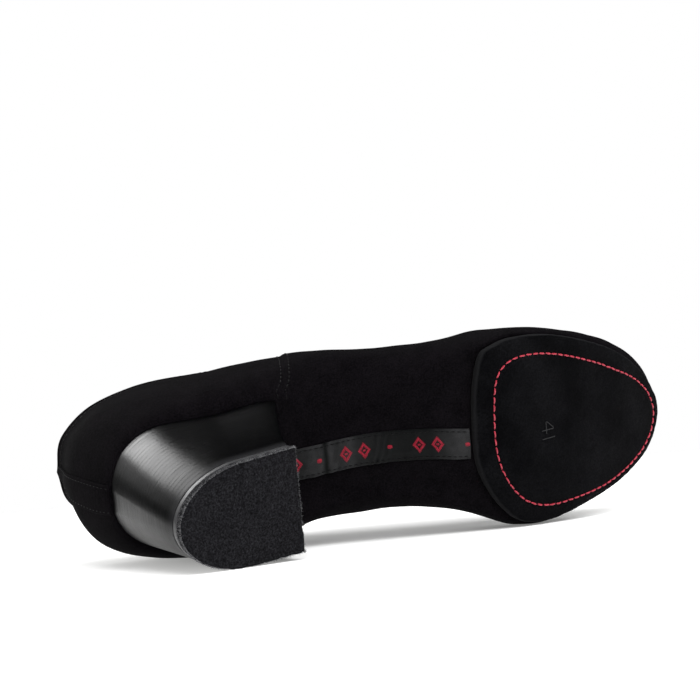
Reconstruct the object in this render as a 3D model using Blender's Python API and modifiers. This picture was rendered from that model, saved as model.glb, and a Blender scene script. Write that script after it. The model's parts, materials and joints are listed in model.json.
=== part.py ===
"""A right-foot ballroom dance shoe with a split sole, lying on its inner side.

The shoe is modelled standing: X runs from the heel curve to the toe, Y towards the inner side of
the foot and Z up from the ground. An empty at the end lays it down on its inner side.
"""
import bmesh
import bpy
import numpy as np
from mathutils import Matrix, Vector

# Driving sizes in metres: the last
LENGTH = 0.270
BALL_WIDTH = 0.0965
HEEL_WIDTH = 0.075
HEEL_HEIGHT = 0.061
TOE_SPRING = 0.0124
BACK_HEIGHT = 0.0615
INSTEP_DEPTH = 0.082
TOE_SWING = 0.009

# The upper's wall and the panel step at its side seam
WALL = 0.002
LASTING_MARGIN = 0.012
SEAM_PLACE = 0.295
SEAM_STEP = 0.0008
SEAM_RUN = 0.0012

# The forefoot pad, the heel and its lifts
PAD_THICKNESS = 0.003
PAD_REAR = 0.1505
PAD_CORNER_INNER = 0.022
PAD_CORNER_OUTER = 0.007
PAD_CHAMFER = 0.0008
HEEL_BREAST = 0.0778
SEAT_BACK = 0.0039
TIP_LENGTH = 0.0537
TIP_WIDTH = 0.0431
TIP_FRONT = 0.0561
LIFT_THICKNESS = 0.0024
TIP_THICKNESS = 0.003

# Thin pieces and trim
GAP = 0.0003
INSOLE_THICKNESS = 0.0025
INSOLE_MARGIN = 0.0015
INSOLE_CLEARANCE = 0.0006
INSOLE_CHAMFER = 0.0007
TAPE_WIDTH = 0.0135
TAPE_THICKNESS = 0.0008
TAPE_BOW = (
    (0.00, -0.0010),
    (0.18, 0.0000),
    (0.38, 0.0018),
    (0.58, 0.0027),
    (0.76, 0.0023),
    (0.90, 0.0011),
    (1.00, 0.0002),
)
STAY_WIDTH = 0.017
OVERLAY_THICKNESS = 0.001
OVERLAY_GAP = 0.0004
TONGUE_THICKNESS = 0.0022
TONGUE_RISE = 0.010
EYELET_PAIRS = 5
EYELET_RADIUS = 0.0022
EYELET_WIRE = 0.0006
EYELET_INSET = 0.0075
LACE_RADIUS = 0.0011
WELD = 2e-5

# Half widths of the last: a row for each station, as shares of half the local width.
# Columns: share of the length, feather inner, feather outer, girth inner, girth outer
WIDTHS = (
    (0.00, 0.00, 0.00, 0.00, 0.00),
    (0.03, 0.48, 0.53, 0.63, 0.65),
    (0.10, 0.72, 0.72, 0.93, 0.90),
    (0.18, 0.73, 0.72, 1.04, 0.97),
    (0.26, 0.72, 0.74, 0.97, 0.99),
    (0.34, 0.50, 0.60, 0.78, 0.99),
    (0.42, 0.37, 0.46, 0.69, 0.97),
    (0.50, 0.47, 0.61, 0.65, 0.91),
    (0.57, 0.66, 0.83, 0.72, 0.92),
    (0.63, 0.79, 0.92, 0.86, 0.95),
    (0.69, 0.84, 0.91, 0.90, 0.94),
    (0.75, 0.80, 0.85, 0.87, 0.89),
    (0.81, 0.73, 0.76, 0.80, 0.82),
    (0.87, 0.64, 0.65, 0.71, 0.73),
    (0.93, 0.50, 0.48, 0.56, 0.59),
    (0.97, 0.35, 0.31, 0.40, 0.42),
    (1.00, 0.00, 0.00, 0.00, 0.00),
)
# The bottom line: share of the length, share of the heel's rise, share of the toe spring
BOTTOM = (
    (0.00, 1.00, 0.00),
    (0.06, 0.995, 0.00),
    (0.14, 0.95, 0.00),
    (0.24, 0.85, 0.00),
    (0.34, 0.68, 0.00),
    (0.42, 0.47, 0.00),
    (0.50, 0.24, 0.00),
    (0.57, 0.08, 0.00),
    (0.63, 0.01, 0.00),
    (0.68, 0.00, 0.00),
    (0.76, 0.00, 0.05),
    (0.84, 0.00, 0.24),
    (0.92, 0.00, 0.58),
    (1.00, 0.00, 1.00),
)
# How far the girth stands over the bottom line, and the feather over the bottom's middle.
# Columns: share of the length, girth rise and feather rise as shares of the instep depth
RISES = (
    (0.00, 0.33, 0.000),
    (0.20, 0.27, 0.000),
    (0.34, 0.32, 0.020),
    (0.42, 0.28, 0.036),
    (0.52, 0.24, 0.028),
    (0.62, 0.11, 0.010),
    (0.72, 0.12, 0.004),
    (0.85, 0.13, 0.004),
    (1.00, 0.09, 0.004),
)
# The collar: share of the length where its column starts, its own place along the length, its half
# width as a share of the heel width, its height over the bottom as a share of the back height, and
# how far the wall leans in, in degrees
COLLAR = (
    (0.00, 0.026, 0.000, 1.000, 4.0),
    (0.03, 0.044, 0.215, 0.995, 5.0),
    (0.08, 0.090, 0.350, 0.965, 7.0),
    (0.15, 0.157, 0.430, 0.915, 9.0),
    (0.24, 0.243, 0.450, 0.915, 12.0),
)
# The facings, the throat and the ridge of the vamp, in the same columns, with the height as a
# share of the instep depth
INSTEP = (
    (0.33, 0.328, 0.400, 0.800, 24.0),
    (0.41, 0.412, 0.205, 1.000, 46.0),
    (0.50, 0.500, 0.125, 0.965, 62.0),
    (0.56, 0.556, 0.080, 0.905, 72.0),
    (0.62, 0.612, 0.000, 0.825, 88.0),
    (0.70, 0.690, 0.000, 0.655, 90.0),
    (0.78, 0.768, 0.000, 0.515, 90.0),
    (0.86, 0.842, 0.000, 0.400, 90.0),
    (0.94, 0.905, 0.000, 0.285, 90.0),
    (1.00, 0.935, 0.000, 0.200, 90.0),
)

# How full the wall's curves are, as shares of their reach: from the feather round to the girth,
# up from the girth, and down from the top line
CORNER_FULLNESS = 0.56
SIDE_FULLNESS = 0.42
TOP_FULLNESS = 0.38
FEATHER_SETBACK = 0.0035
WAIST_LAP = 0.004

# Shares of the length: both ends of the throat, of the facings and of the tongue, the first and
# last eyelet's distance from the facings' ends, and the stretch where the panel step fades out
THROAT_TOP = 0.41
THROAT_END = 0.62
FACING_END = 0.59
TONGUE_END = 0.66
EYELET_TOP = 0.02
EYELET_LOW = 0.035
STEP_FADE = (0.62, 0.74)

# The wall's rows count 0 at the lasting margin, 1 at the feather, 2 at the girth and 3 at the top
# line. The trim starts and ends on rows of its own
ROWS = (0.0, 0.5, 1.0, 1.25, 1.5, 1.75, 2.0, 2.14, 2.28, 2.42, 2.56, 2.70, 2.85, 3.0)
COLUMNS = 44
STEP_ROWS = (1.0, 1.5)
STAY_LOW_ROW = 1.5
FLUSH_ROW = 2.985
FACING_ROW = 2.56
TONGUE_ROW = 2.56

# The forms of the pad's rear corners and of the heel block, with their divisions
CORNER_POWER = 2.2
PAD_STEPS = 30
INSOLE_STEPS = 36
HEEL_ROUND_SHARE = 0.56
TIP_SPREAD = 0.06
HEEL_FLARE = 1.15
HEEL_STEPS = 11
HEEL_LEVELS = 7

# The tongue above the throat: how far up each line lies, and how narrow it is, as shares
TONGUE_TOP = (
    (1.0, 0.86),
    (0.5, 0.95),
)

SIDES = (1.0, -1.0)
TINY = 1e-6


def smooth(xs, ys, x):
    """A smooth curve through a table's points, read at x."""
    xs = np.asarray(xs, float)
    ys = np.asarray(ys, float)
    x = np.clip(np.asarray(x, float), xs[0], xs[-1])
    step = np.diff(xs)
    slope = np.diff(ys) / step
    tangent = np.empty(len(xs))
    tangent[0] = slope[0]
    tangent[-1] = slope[-1]
    tangent[1:-1] = (slope[:-1] * step[1:] + slope[1:] * step[:-1]) / (step[1:] + step[:-1])
    flat = slope[:-1] * slope[1:] <= 0.0
    tangent[1:-1][flat] = 0.0
    cell = np.clip(np.searchsorted(xs, x, side="right") - 1, 0, len(xs) - 2)
    t = (x - xs[cell]) / step[cell]
    start = (1 + 2 * t) * (1 - t) ** 2 * ys[cell] + t * (1 - t) ** 2 * step[cell] * tangent[cell]
    end = t * t * (3 - 2 * t) * ys[cell + 1] + t * t * (t - 1) * step[cell] * tangent[cell + 1]
    return start + end


def turn(share):
    """The angle of a station: cosine spacing keeps the round ends of the last round."""
    return np.arccos(np.clip(1 - 2 * np.asarray(share, float), -1, 1))


def share_of(angle):
    return (1 - np.cos(angle)) / 2


def column(table, index):
    return [row[index] for row in table]


def by_angle(table, index, angle):
    """A table's column read as a smooth function of the station angle."""
    return smooth(turn(column(table, 0)), column(table, index), angle)


def bottom_height(x):
    """The height of the last's bottom line over the ground."""
    share = np.asarray(x) / LENGTH
    base = PAD_THICKNESS + GAP
    heel = smooth(column(BOTTOM, 0), column(BOTTOM, 1), share) * (HEEL_HEIGHT - base)
    toe = smooth(column(BOTTOM, 0), column(BOTTOM, 2), share) * TOE_SPRING
    return base + heel + toe


def middle(share):
    """The last's centre line swings to the inner side at the toe."""
    return TOE_SWING * np.clip((share - 0.55) / 0.45, 0, 1) ** 2


def local_half(share):
    """Half the local width: the heel's at the back, the ball's at the front."""
    blend = smooth((0.18, 0.63), (0.0, 1.0), share)
    return 0.5 * (HEEL_WIDTH + (BALL_WIDTH - HEEL_WIDTH) * blend)


def half_width(angle, side, line):
    """Half the width of the feather or the girth line on one side."""
    index = {"feather": 1, "girth": 3}[line] + (0 if side > 0 else 1)
    return by_angle(WIDTHS, index, angle) * local_half(share_of(angle))


def feather_x(share):
    return FEATHER_SETBACK + (LENGTH - 2 * FEATHER_SETBACK) * share


def feather_angle(x):
    return turn((np.asarray(x) - FEATHER_SETBACK) / (LENGTH - 2 * FEATHER_SETBACK))


def feather_half(x, side):
    """Half the width of the flat bottom at a place along the length."""
    return half_width(feather_angle(x), side, "feather")


def outward(x, y):
    """Unit normals of a plan line, pointing away from the last."""
    dx = np.gradient(x)
    dy = np.gradient(y)
    size = np.hypot(dx, dy)
    return dy / size, dx / size


def bezier(points, t):
    a, b, c, d = points
    t = t[:, None, None]
    return a * (1 - t) ** 3 + 3 * b * t * (1 - t) ** 2 + 3 * c * t ** 2 * (1 - t) + d * t ** 3


def stack(x, y, z):
    return np.stack(np.broadcast_arrays(x, y, z), -1)


def waist_angles():
    """Where the closed waist starts under the heel block and ends over the pad."""
    return float(feather_angle(HEEL_BREAST - WAIST_LAP)), float(feather_angle(PAD_REAR + 2 * WAIST_LAP))


def guide_lines(angle, side):
    """The margin, feather, girth and top line of one side, and their outward directions."""
    share = share_of(angle)
    depth = INSTEP_DEPTH
    x = feather_x(share)
    half = half_width(angle, side, "feather")
    nx, ny = outward(x, half)
    nx[0], ny[0] = -1.0, 0.0
    nx[-1], ny[-1] = 1.0, 0.0
    nx[1:-1], ny[1:-1] = -nx[1:-1], ny[1:-1]
    low = bottom_height(x)
    rise = smooth(column(RISES, 0), column(RISES, 2), share) * depth
    feather = stack(x, middle(share) + side * half, low + rise)
    out = stack(nx, side * ny, 0.0)

    margin = feather - out * LASTING_MARGIN
    margin[:, 2] = bottom_height(margin[:, 0])
    start, end = waist_angles()
    closed = (angle > start - TINY) & (angle < end + TINY)
    margin[closed] = stack(x, middle(share), low)[closed]

    girth_x = LENGTH * share
    girth_half = half_width(angle, side, "girth")
    girth_rise = smooth(column(RISES, 0), column(RISES, 1), share) * depth
    girth = stack(girth_x, middle(share) + side * girth_half, low + girth_rise)

    top_table = [(s, x, half * HEEL_WIDTH, rise * BACK_HEIGHT, lean) for s, x, half, rise, lean in COLLAR]
    top_table += [(s, x, half * HEEL_WIDTH, rise * INSTEP_DEPTH, lean) for s, x, half, rise, lean in INSTEP]
    top_half = by_angle(top_table, 2, angle)
    top_half[share >= THROAT_END] = 0.0
    top_x = LENGTH * by_angle(top_table, 1, angle)
    top = stack(top_x, middle(share) + side * top_half, low + by_angle(top_table, 3, angle))
    lean = np.radians(by_angle(top_table, 4, angle))
    return margin, feather, girth, top, out, lean


def wall_points(angle, rows, side):
    """The outer face of the upper: an array of points by row and column."""
    margin, feather, girth, top, out, lean = guide_lines(angle, side)
    up = np.array((0.0, 0.0, 1.0))
    rows = np.asarray(rows, float)
    points = np.empty((len(rows), len(angle), 3))

    low = rows <= 1.0
    t = rows[low][:, None, None]
    points[low] = margin + (feather - margin) * t

    reach = np.linalg.norm((girth - feather)[:, :2], axis=1)[:, None]
    climb = (girth - feather)[:, 2:]
    low_handle = feather + out * reach * CORNER_FULLNESS
    corner = (feather, low_handle, girth - up * climb * CORNER_FULLNESS, girth)
    mid = (rows > 1.0) & (rows <= 2.0)
    points[mid] = bezier(corner, rows[mid] - 1.0)

    rise = (top - girth)[:, 2:]
    span = np.linalg.norm(top - girth, axis=1)[:, None]
    inward = up * np.cos(lean)[:, None] - out * np.sin(lean)[:, None]
    top_handle = top - inward * span * TOP_FULLNESS
    side_curve = (girth, girth + up * rise * SIDE_FULLNESS, top_handle, top)
    high = rows > 2.0
    points[high] = bezier(side_curve, rows[high] - 2.0)
    return points


def wall_normals(points, angle, side):
    """Outward unit normals of a grid of wall points; on the centre line they lie in its plane."""
    across = np.gradient(points, axis=0)
    along = np.gradient(points, axis=1)
    normal = np.cross(across, along) * side
    normal[:, 0, 1] = 0.0
    normal[:, -1, 1] = 0.0
    normal[-1, share_of(angle) >= THROAT_END - TINY, 1] = 0.0
    return normal / np.linalg.norm(normal, axis=-1, keepdims=True)


def upper_angles():
    """The angles of the upper's columns: even ones, its seam, its throat's end and its waist's ends.

    An even column that lies closer than half a division to a marked one gives way to it.
    """
    angles = np.linspace(0, np.pi, COLUMNS + 1)
    edges = turn((SEAM_PLACE, SEAM_PLACE + SEAM_RUN / LENGTH, THROAT_END))
    marks = np.array((*waist_angles(), *edges))
    apart = np.abs(angles[:, None] - marks[None, :]).min(axis=1)
    return np.sort(np.concatenate((angles[apart > 0.5 * angles[1]], marks)))


def upper_grid(side):
    """The upper's outer face with the panel step ahead of the side seam, and its normals."""
    angle = upper_angles()
    points = wall_points(angle, ROWS, side)
    normals = wall_normals(points, angle, side)
    ahead = smooth((SEAM_PLACE, SEAM_PLACE + SEAM_RUN / LENGTH), (0.0, 1.0), share_of(angle))
    fade = smooth(STEP_FADE, (1.0, 0.0), share_of(angle))
    climb = smooth(STEP_ROWS, (0.0, 1.0), ROWS)
    lift = SEAM_STEP * climb[:, None] * (ahead * fade)[None, :]
    return points + normals * lift[..., None], normals


GRIDS = {side: upper_grid(side) for side in SIDES}
ANGLES = upper_angles()


def on_upper(angle, row, side, lift):
    """A point on one facet of the upper's outer face, lifted along its normal."""
    points, normals = GRIDS[side]
    i = int(np.clip(np.searchsorted(ANGLES, angle, side="right") - 1, 0, len(ANGLES) - 2))
    j = int(np.clip(np.searchsorted(ROWS, row, side="right") - 1, 0, len(ROWS) - 2))
    u = (angle - ANGLES[i]) / (ANGLES[i + 1] - ANGLES[i])
    v = (row - ROWS[j]) / (ROWS[j + 1] - ROWS[j])
    found = []
    for grid in (points, normals):
        low = grid[j, i] * (1 - u) + grid[j, i + 1] * u
        high = grid[j + 1, i] * (1 - u) + grid[j + 1, i + 1] * u
        found.append(low * (1 - v) + high * v)
    normal = found[1] / np.linalg.norm(found[1])
    return found[0] + normal * lift


def between(low, high, marks):
    """Both ends and the marks between them, so that a patch bends where the wall bends."""
    clear = 1e-4
    inner = [m for m in marks if low + clear < m < high - clear]
    return [low] + inner + [high]


def clear_scene():
    for old in list(bpy.data.objects):
        bpy.data.objects.remove(old, do_unlink=True)


def shoe_collection():
    """The collection that holds every sub-part."""
    found = bpy.data.collections.new("ballroom_dance_shoe")
    bpy.context.scene.collection.children.link(found)
    return found


def material(name, colour, roughness, metallic=0.0):
    """One plain Principled finish."""
    found = bpy.data.materials.new(name)
    found.use_nodes = True
    shader = found.node_tree.nodes["Principled BSDF"]
    shader.inputs["Base Color"].default_value = (*colour, 1.0)
    shader.inputs["Roughness"].default_value = roughness
    shader.inputs["Metallic"].default_value = metallic
    return found


def add_object(name, mesh, finish):
    """Put a mesh in the shoe's collection under its node name."""
    body = bpy.data.objects.new(name, mesh)
    mesh.materials.append(finish)
    PARTS.objects.link(body)
    mesh.shade_smooth()
    mesh.set_sharp_from_angle(angle=np.radians(40))
    return body


def surface_mesh(name, sheets):
    """One mesh from grids of points that share edges, with the shared points welded."""
    bm = bmesh.new()
    for grid, reverse in sheets:
        rows, columns = grid.shape[:2]
        verts = [[bm.verts.new(grid[j, i]) for i in range(columns)] for j in range(rows)]
        for j in range(rows - 1):
            for i in range(columns - 1):
                ring = [verts[j][i], verts[j][i + 1], verts[j + 1][i + 1], verts[j + 1][i]]
                if reverse:
                    ring.reverse()
                bm.faces.new(ring)
    bmesh.ops.remove_doubles(bm, verts=bm.verts, dist=WELD)
    bmesh.ops.dissolve_degenerate(bm, edges=bm.edges, dist=WELD)
    mesh = bpy.data.meshes.new(name)
    bm.to_mesh(mesh)
    bm.free()
    return mesh


def thicken(body, thickness, outwards, even=False):
    """Solidify an open surface on one side of itself."""
    solid = body.modifiers.new("wall", "SOLIDIFY")
    solid.thickness = thickness
    solid.offset = 1.0 if outwards else -1.0
    solid.use_even_offset = even
    solid.use_rim = True


def closed_mesh(name, rings, caps):
    """A closed solid from rings of points, with the faces of its two end caps given."""
    bm = bmesh.new()
    verts = [[bm.verts.new(point) for point in ring] for ring in rings]
    size = len(verts[0])
    for a, b in zip(verts[:-1], verts[1:]):
        for k in range(size):
            n = (k + 1) % size
            bm.faces.new((a[k], a[n], b[n], b[k]))
    for face in caps:
        bm.faces.new([verts[0][k] for k in face])
        bm.faces.new([verts[-1][k] for k in reversed(face)])
    bmesh.ops.recalc_face_normals(bm, faces=bm.faces)
    mesh = bpy.data.meshes.new(name)
    bm.to_mesh(mesh)
    bm.free()
    return mesh


def strip(name, finish, stations, edges, top, thickness, chamfer):
    """A thin slab lofted along X under a height function, its lower long edges chamfered.

    edges(x) gives the outer and the inner edge in Y, and top(x, y) the upper face.
    """
    shares = np.array((0.0, 0.25, 0.5, 0.75, 1.0))
    count = len(shares)
    rings = []
    for x in stations:
        low, high = edges(x)
        across = low + (high - low) * shares
        ring = [(x, y, top(x, y)) for y in across]
        ring.append((x, high, top(x, high) - thickness + chamfer))
        inset = low + chamfer + (high - low - 2 * chamfer) * shares
        ring += [(x, y, top(x, y) - thickness) for y in inset[::-1]]
        ring.append((x, low, top(x, low) - thickness + chamfer))
        rings.append(ring)
    last = 2 * count + 1
    caps = [(k, k + 1, last - 2 - k, last - 1 - k) for k in range(count - 1)]
    caps += [(0, last - 1, last), (count - 1, count, count + 1)]
    return add_object(name, closed_mesh(name, rings, caps), finish)


def ends_rounded(start, end, count):
    """Stations between two places, closer together near both ends."""
    return start + (end - start) * share_of(np.linspace(0, np.pi, count))


def feather_rise(x):
    return smooth(column(RISES, 0), column(RISES, 2), x / LENGTH) * INSTEP_DEPTH


def under_upper(x, y):
    """The underside of the upper's bottom, where the sole pieces seat."""
    side = 1.0 if y > middle(x / LENGTH) else -1.0
    out = abs(y - middle(x / LENGTH)) / max(float(feather_half(x, side)), 1e-4)
    return float(bottom_height(x) + feather_rise(x) * min(out, 1.0))


def steepness(x):
    """How much further apart two sloping faces lie when measured straight up."""
    step = 0.001
    along = float(bottom_height(x + step) - bottom_height(x - step)) / (2 * step)
    across = float(feather_rise(x) / feather_half(x, 1.0))
    return (1 + along ** 2 + across ** 2) ** 0.5


def pad_half(x, side):
    """The pad's half width: the feather's, with the rear corners rounded."""
    corner = PAD_CORNER_INNER if side > 0 else PAD_CORNER_OUTER
    t = np.clip((x - PAD_REAR) / corner, 0.0, 1.0)
    roundness = (1 - (1 - t) ** CORNER_POWER) ** (1 / CORNER_POWER)
    return float(feather_half(x, side) * roundness)


def build_upper():
    """Both sides of the wall meet at the back seam, the waist, the ridge and the toe."""
    mesh = surface_mesh("upper", ((GRIDS[1.0][0], True), (GRIDS[-1.0][0], False)))
    body = add_object("upper", mesh, SUEDE)
    thicken(body, WALL, outwards=False, even=True)
    return body


def build_pad():
    toe = LENGTH - FEATHER_SETBACK
    stations = ends_rounded(PAD_REAR, toe, PAD_STEPS)[1:-1]

    def edges(x):
        centre = float(middle(x / LENGTH))
        return centre - pad_half(x, -1.0), centre + pad_half(x, 1.0)

    def top(x, y):
        return float(bottom_height(x)) - GAP

    strip("outsole_front", SOLE_SUEDE, stations, edges, top, PAD_THICKNESS, PAD_CHAMFER)


def build_insole():
    """The insole lies on the lasting margin and the waist, inside the wall."""
    inset = INSOLE_MARGIN + FEATHER_SETBACK + WALL
    stations = ends_rounded(inset, LENGTH - inset, INSOLE_STEPS)

    def edges(x):
        centre = float(middle(x / LENGTH))
        half = [float(feather_half(x, side)) - INSOLE_MARGIN for side in (-1.0, 1.0)]
        return centre - half[0], centre + half[1]

    def top(x, y):
        return under_upper(x, y) + (WALL + INSOLE_CLEARANCE) * steepness(x) + INSOLE_THICKNESS

    strip("insole", LINING, stations, edges, top, INSOLE_THICKNESS, INSOLE_CHAMFER)


def build_tape():
    """The woven tape along the waist, bowed to the outer side, from the heel's breast to the pad."""
    start = float(feather_angle(HEEL_BREAST + TAPE_THICKNESS + GAP))
    end = float(feather_angle(PAD_REAR - 2 * GAP))
    lines = []
    for angle in between(start, end, ANGLES):
        run = (angle - start) / (end - start)
        bow = float(smooth(column(TAPE_BOW, 0), column(TAPE_BOW, 1), run))
        line = []
        for share in (-1.0, -0.5, 0.0, 0.5, 1.0):
            across = share * TAPE_WIDTH / 2 - bow
            side = 1.0 if across > 0.0 else -1.0
            row = abs(across) / float(half_width(angle, side, "feather"))
            line.append(on_upper(angle, row, side, GAP))
        lines.append(line)
    grid = np.array(lines).swapaxes(0, 1)
    body = add_object("arch_tape", surface_mesh("arch_tape", ((grid, True),)), TAPE)
    thicken(body, TAPE_THICKNESS, outwards=True)


def horseshoe(back, front, half):
    """A heel outline in plan: a round back, long sides and an open front.

    It runs from the outer front corner round the back to the inner front corner, so that points
    counted from both ends face each other.
    """
    turn_end = back + (front - back) * HEEL_ROUND_SHARE
    angles = np.linspace(np.pi / 2, 0, HEEL_STEPS)
    curve = [(turn_end - (turn_end - back) * np.cos(a), np.sin(a)) for a in angles]
    straight = [(front + (turn_end - front) * share, 1.0) for share in (0.0, 1 / 3, 2 / 3)]
    outer = []
    for x, y in straight + curve:
        spread = 1.0 - TIP_SPREAD * (front - x) / (front - back)
        outer.append((x, -half * y * spread))
    inner = [(x, -y) for x, y in reversed(outer[:-1])]
    return np.array(outer + inner)


def seat_outline():
    """The heel seat's outline, point for point with the tip's."""
    tip = horseshoe(TIP_FRONT - TIP_LENGTH, TIP_FRONT, TIP_WIDTH / 2)
    points = []
    for x, y in tip:
        share = (x - (TIP_FRONT - TIP_LENGTH)) / TIP_LENGTH
        along = SEAT_BACK + (HEEL_BREAST - SEAT_BACK) * share
        side = 1.0 if y > 0 else -1.0
        half = float(feather_half(along, side)) if abs(y) > TINY else 0.0
        points.append((along, side * half))
    return np.array(points)


def heel_caps(count):
    """Strips between the points that face each other on a horseshoe outline."""
    half = count // 2
    caps = [(k, k + 1, count - 2 - k, count - 1 - k) for k in range(half - 1)]
    caps.append((half - 1, half, half + 1))
    return caps


def build_heel():
    """The tapered block, the thin lift below it and the suede tip on the ground."""
    tip = horseshoe(TIP_FRONT - TIP_LENGTH, TIP_FRONT, TIP_WIDTH / 2)
    seat = seat_outline()
    caps = heel_caps(len(tip))
    base = TIP_THICKNESS + GAP + LIFT_THICKNESS + GAP

    rings = []
    for t in np.linspace(0.0, 1.0, HEEL_LEVELS):
        flare = t ** HEEL_FLARE
        plan = tip * (1 - flare) + seat * flare
        top = bottom_height(seat[:, 0]) - GAP
        height = base + (top - base) * t
        rings.append(np.column_stack((plan, height)))
    add_object("heel", closed_mesh("heel", rings, caps), HEEL_STACK)

    for name, low, high, finish in (
        ("heel_lift", TIP_THICKNESS + GAP, base - GAP, HEEL_LIFT),
        ("heel_tip", 0.0, TIP_THICKNESS, SOLE_SUEDE),
    ):
        rings = [np.column_stack((tip, np.full(len(tip), z))) for z in (low, high)]
        add_object(name, closed_mesh(name, rings, caps), finish)


def patch(name, finish, columns, rows, thickness):
    """A thin piece laid on the upper's outer face, with corners only where the wall has them.

    columns is a list of station angle and side.
    """
    grid = np.array([[on_upper(abs(a), row, side, OVERLAY_GAP) for a, side in columns] for row in rows])
    mesh = surface_mesh(name, ((grid, True),))
    body = add_object(name, mesh, finish)
    thicken(body, thickness, outwards=True)
    return body


def build_back_stay():
    """The strip over the back seam."""
    back = ANGLES[ANGLES < turn(0.1)]
    edge = float(np.interp(STAY_WIDTH / 2, half_width(back, 1.0, "girth"), back))
    angles = between(0.0, edge, ANGLES)
    columns = [(a, -1.0) for a in reversed(angles[1:])] + [(a, 1.0) for a in angles]
    patch("back_stay", SUEDE, columns, between(STAY_LOW_ROW, FLUSH_ROW, ROWS), OVERLAY_THICKNESS)


def build_facings():
    """The eyelet facings along both sides of the throat."""
    angles = between(float(turn(THROAT_TOP)), float(turn(FACING_END)), ANGLES)
    for name, side in (("facing_inner", 1.0), ("facing_outer", -1.0)):
        columns = [(a, side) for a in (angles if side > 0 else reversed(angles))]
        patch(name, SUEDE, columns, between(FACING_ROW, FLUSH_ROW, ROWS), OVERLAY_THICKNESS)


def build_tongue():
    """The tongue lies under the facings and stands out above them."""
    angles = between(float(turn(THROAT_TOP)), float(turn(TONGUE_END)), ANGLES)
    rows = between(TONGUE_ROW, ROWS[-1], ROWS)
    depth = -(WALL + GAP + TONGUE_THICKNESS)
    lines = []
    for a in angles:
        inner = [on_upper(a, row, 1.0, depth) for row in rows]
        outer = [on_upper(a, row, -1.0, depth) for row in reversed(rows)]
        lines.append(inner + [(inner[-1] + outer[0]) / 2] + outer)
    lines = np.array(lines)
    middle_line = len(rows)
    slope = lines[0] - lines[1]
    slope[:] = slope[middle_line]
    slope /= np.linalg.norm(slope, axis=1)[:, None]
    centre = lines[0][middle_line]
    tops = []
    for reach, narrow in TONGUE_TOP:
        base = centre + (lines[0] - centre) * narrow
        tops.append(base + slope * TONGUE_RISE * reach)
    grid = np.concatenate((np.array(tops), lines)).swapaxes(0, 1)
    mesh = surface_mesh("tongue", ((grid, True),))
    body = add_object("tongue", mesh, SUEDE)
    thicken(body, TONGUE_THICKNESS, outwards=True)


def eyelet_places():
    """Angle, row and side of each eyelet, in pairs from the top of the throat down."""
    pairs = []
    for share in np.linspace(THROAT_TOP + EYELET_TOP, FACING_END - EYELET_LOW, EYELET_PAIRS):
        angle = float(turn(share))
        pair = []
        for side in SIDES:
            edge = on_upper(angle, ROWS[-1], side, 0.0)
            below = on_upper(angle, ROWS[-3], side, 0.0)
            row = ROWS[-1] - (ROWS[-1] - ROWS[-3]) * EYELET_INSET / np.linalg.norm(edge - below)
            pair.append((angle, row, side))
        pairs.append(pair)
    return pairs


def build_eyelets():
    lift = OVERLAY_GAP + OVERLAY_THICKNESS + GAP + EYELET_WIRE / 2
    for number, pair in enumerate(eyelet_places(), start=1):
        for angle, row, side in pair:
            seat = Vector(on_upper(angle, row, side, lift))
            normal = seat - Vector(on_upper(angle, row, side, 0.0))
            bpy.ops.mesh.primitive_torus_add(
                major_radius=EYELET_RADIUS, minor_radius=EYELET_WIRE, major_segments=14, minor_segments=6
            )
            ring = bpy.context.object
            ring.name = f"eyelet_{'inner' if side > 0 else 'outer'}_{number}"
            ring.data.transform(Matrix.Diagonal((1.0, 1.0, 0.5, 1.0)))
            ring.data.materials.append(METAL)
            ring.data.shade_smooth()
            ring.rotation_euler = normal.to_track_quat("Z", "Y").to_euler()
            ring.location = seat
            for holder in list(ring.users_collection):
                holder.objects.unlink(ring)
            PARTS.objects.link(ring)


def build_laces():
    """Straight bars of lace from eyelet to eyelet, over the facings and the tongue."""
    lift = OVERLAY_GAP + OVERLAY_THICKNESS + GAP + EYELET_WIRE + GAP + LACE_RADIUS
    for number, pair in enumerate(eyelet_places(), start=1):
        sides = []
        for angle, row, side in pair:
            sides.append([on_upper(angle, r, side, lift) for r in (row, (row + ROWS[-1]) / 2, ROWS[-1])])
        inner, outer = sides
        route = inner + [(inner[-1] + outer[-1]) / 2] + outer[::-1]
        route = np.array(route)
        places = np.linspace(0, 1, len(route))
        fine = np.linspace(0, 1, 13)
        points = np.column_stack([smooth(places, route[:, k], fine) for k in range(3)])
        curve = bpy.data.curves.new(f"lace_bar_{number}", "CURVE")
        curve.dimensions = "3D"
        curve.bevel_depth = LACE_RADIUS
        curve.bevel_resolution = 2
        curve.use_fill_caps = True
        line = curve.splines.new("POLY")
        line.points.add(len(points) - 1)
        for knot, place in zip(line.points, points):
            knot.co = (*place, 1.0)
        curve.materials.append(LACE)
        PARTS.objects.link(bpy.data.objects.new(f"lace_bar_{number}", curve))


def evaluated_points():
    """Every vertex of the finished pieces and the centre of their volume."""
    bpy.context.view_layer.update()
    graph = bpy.context.evaluated_depsgraph_get()
    points = []
    volume = 0.0
    moment = Vector((0.0, 0.0, 0.0))
    for body in PARTS.objects:
        shape = body.evaluated_get(graph)
        mesh = shape.to_mesh()
        mesh.calc_loop_triangles()
        place = body.matrix_world
        spots = [place @ v.co for v in mesh.vertices]
        points += spots
        for triangle in mesh.loop_triangles:
            a, b, c = (spots[k] for k in triangle.vertices)
            piece = a.dot(b.cross(c)) / 6
            volume += piece
            moment += piece * (a + b + c) / 4
        shape.to_mesh_clear()
    return points, moment / volume


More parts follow.
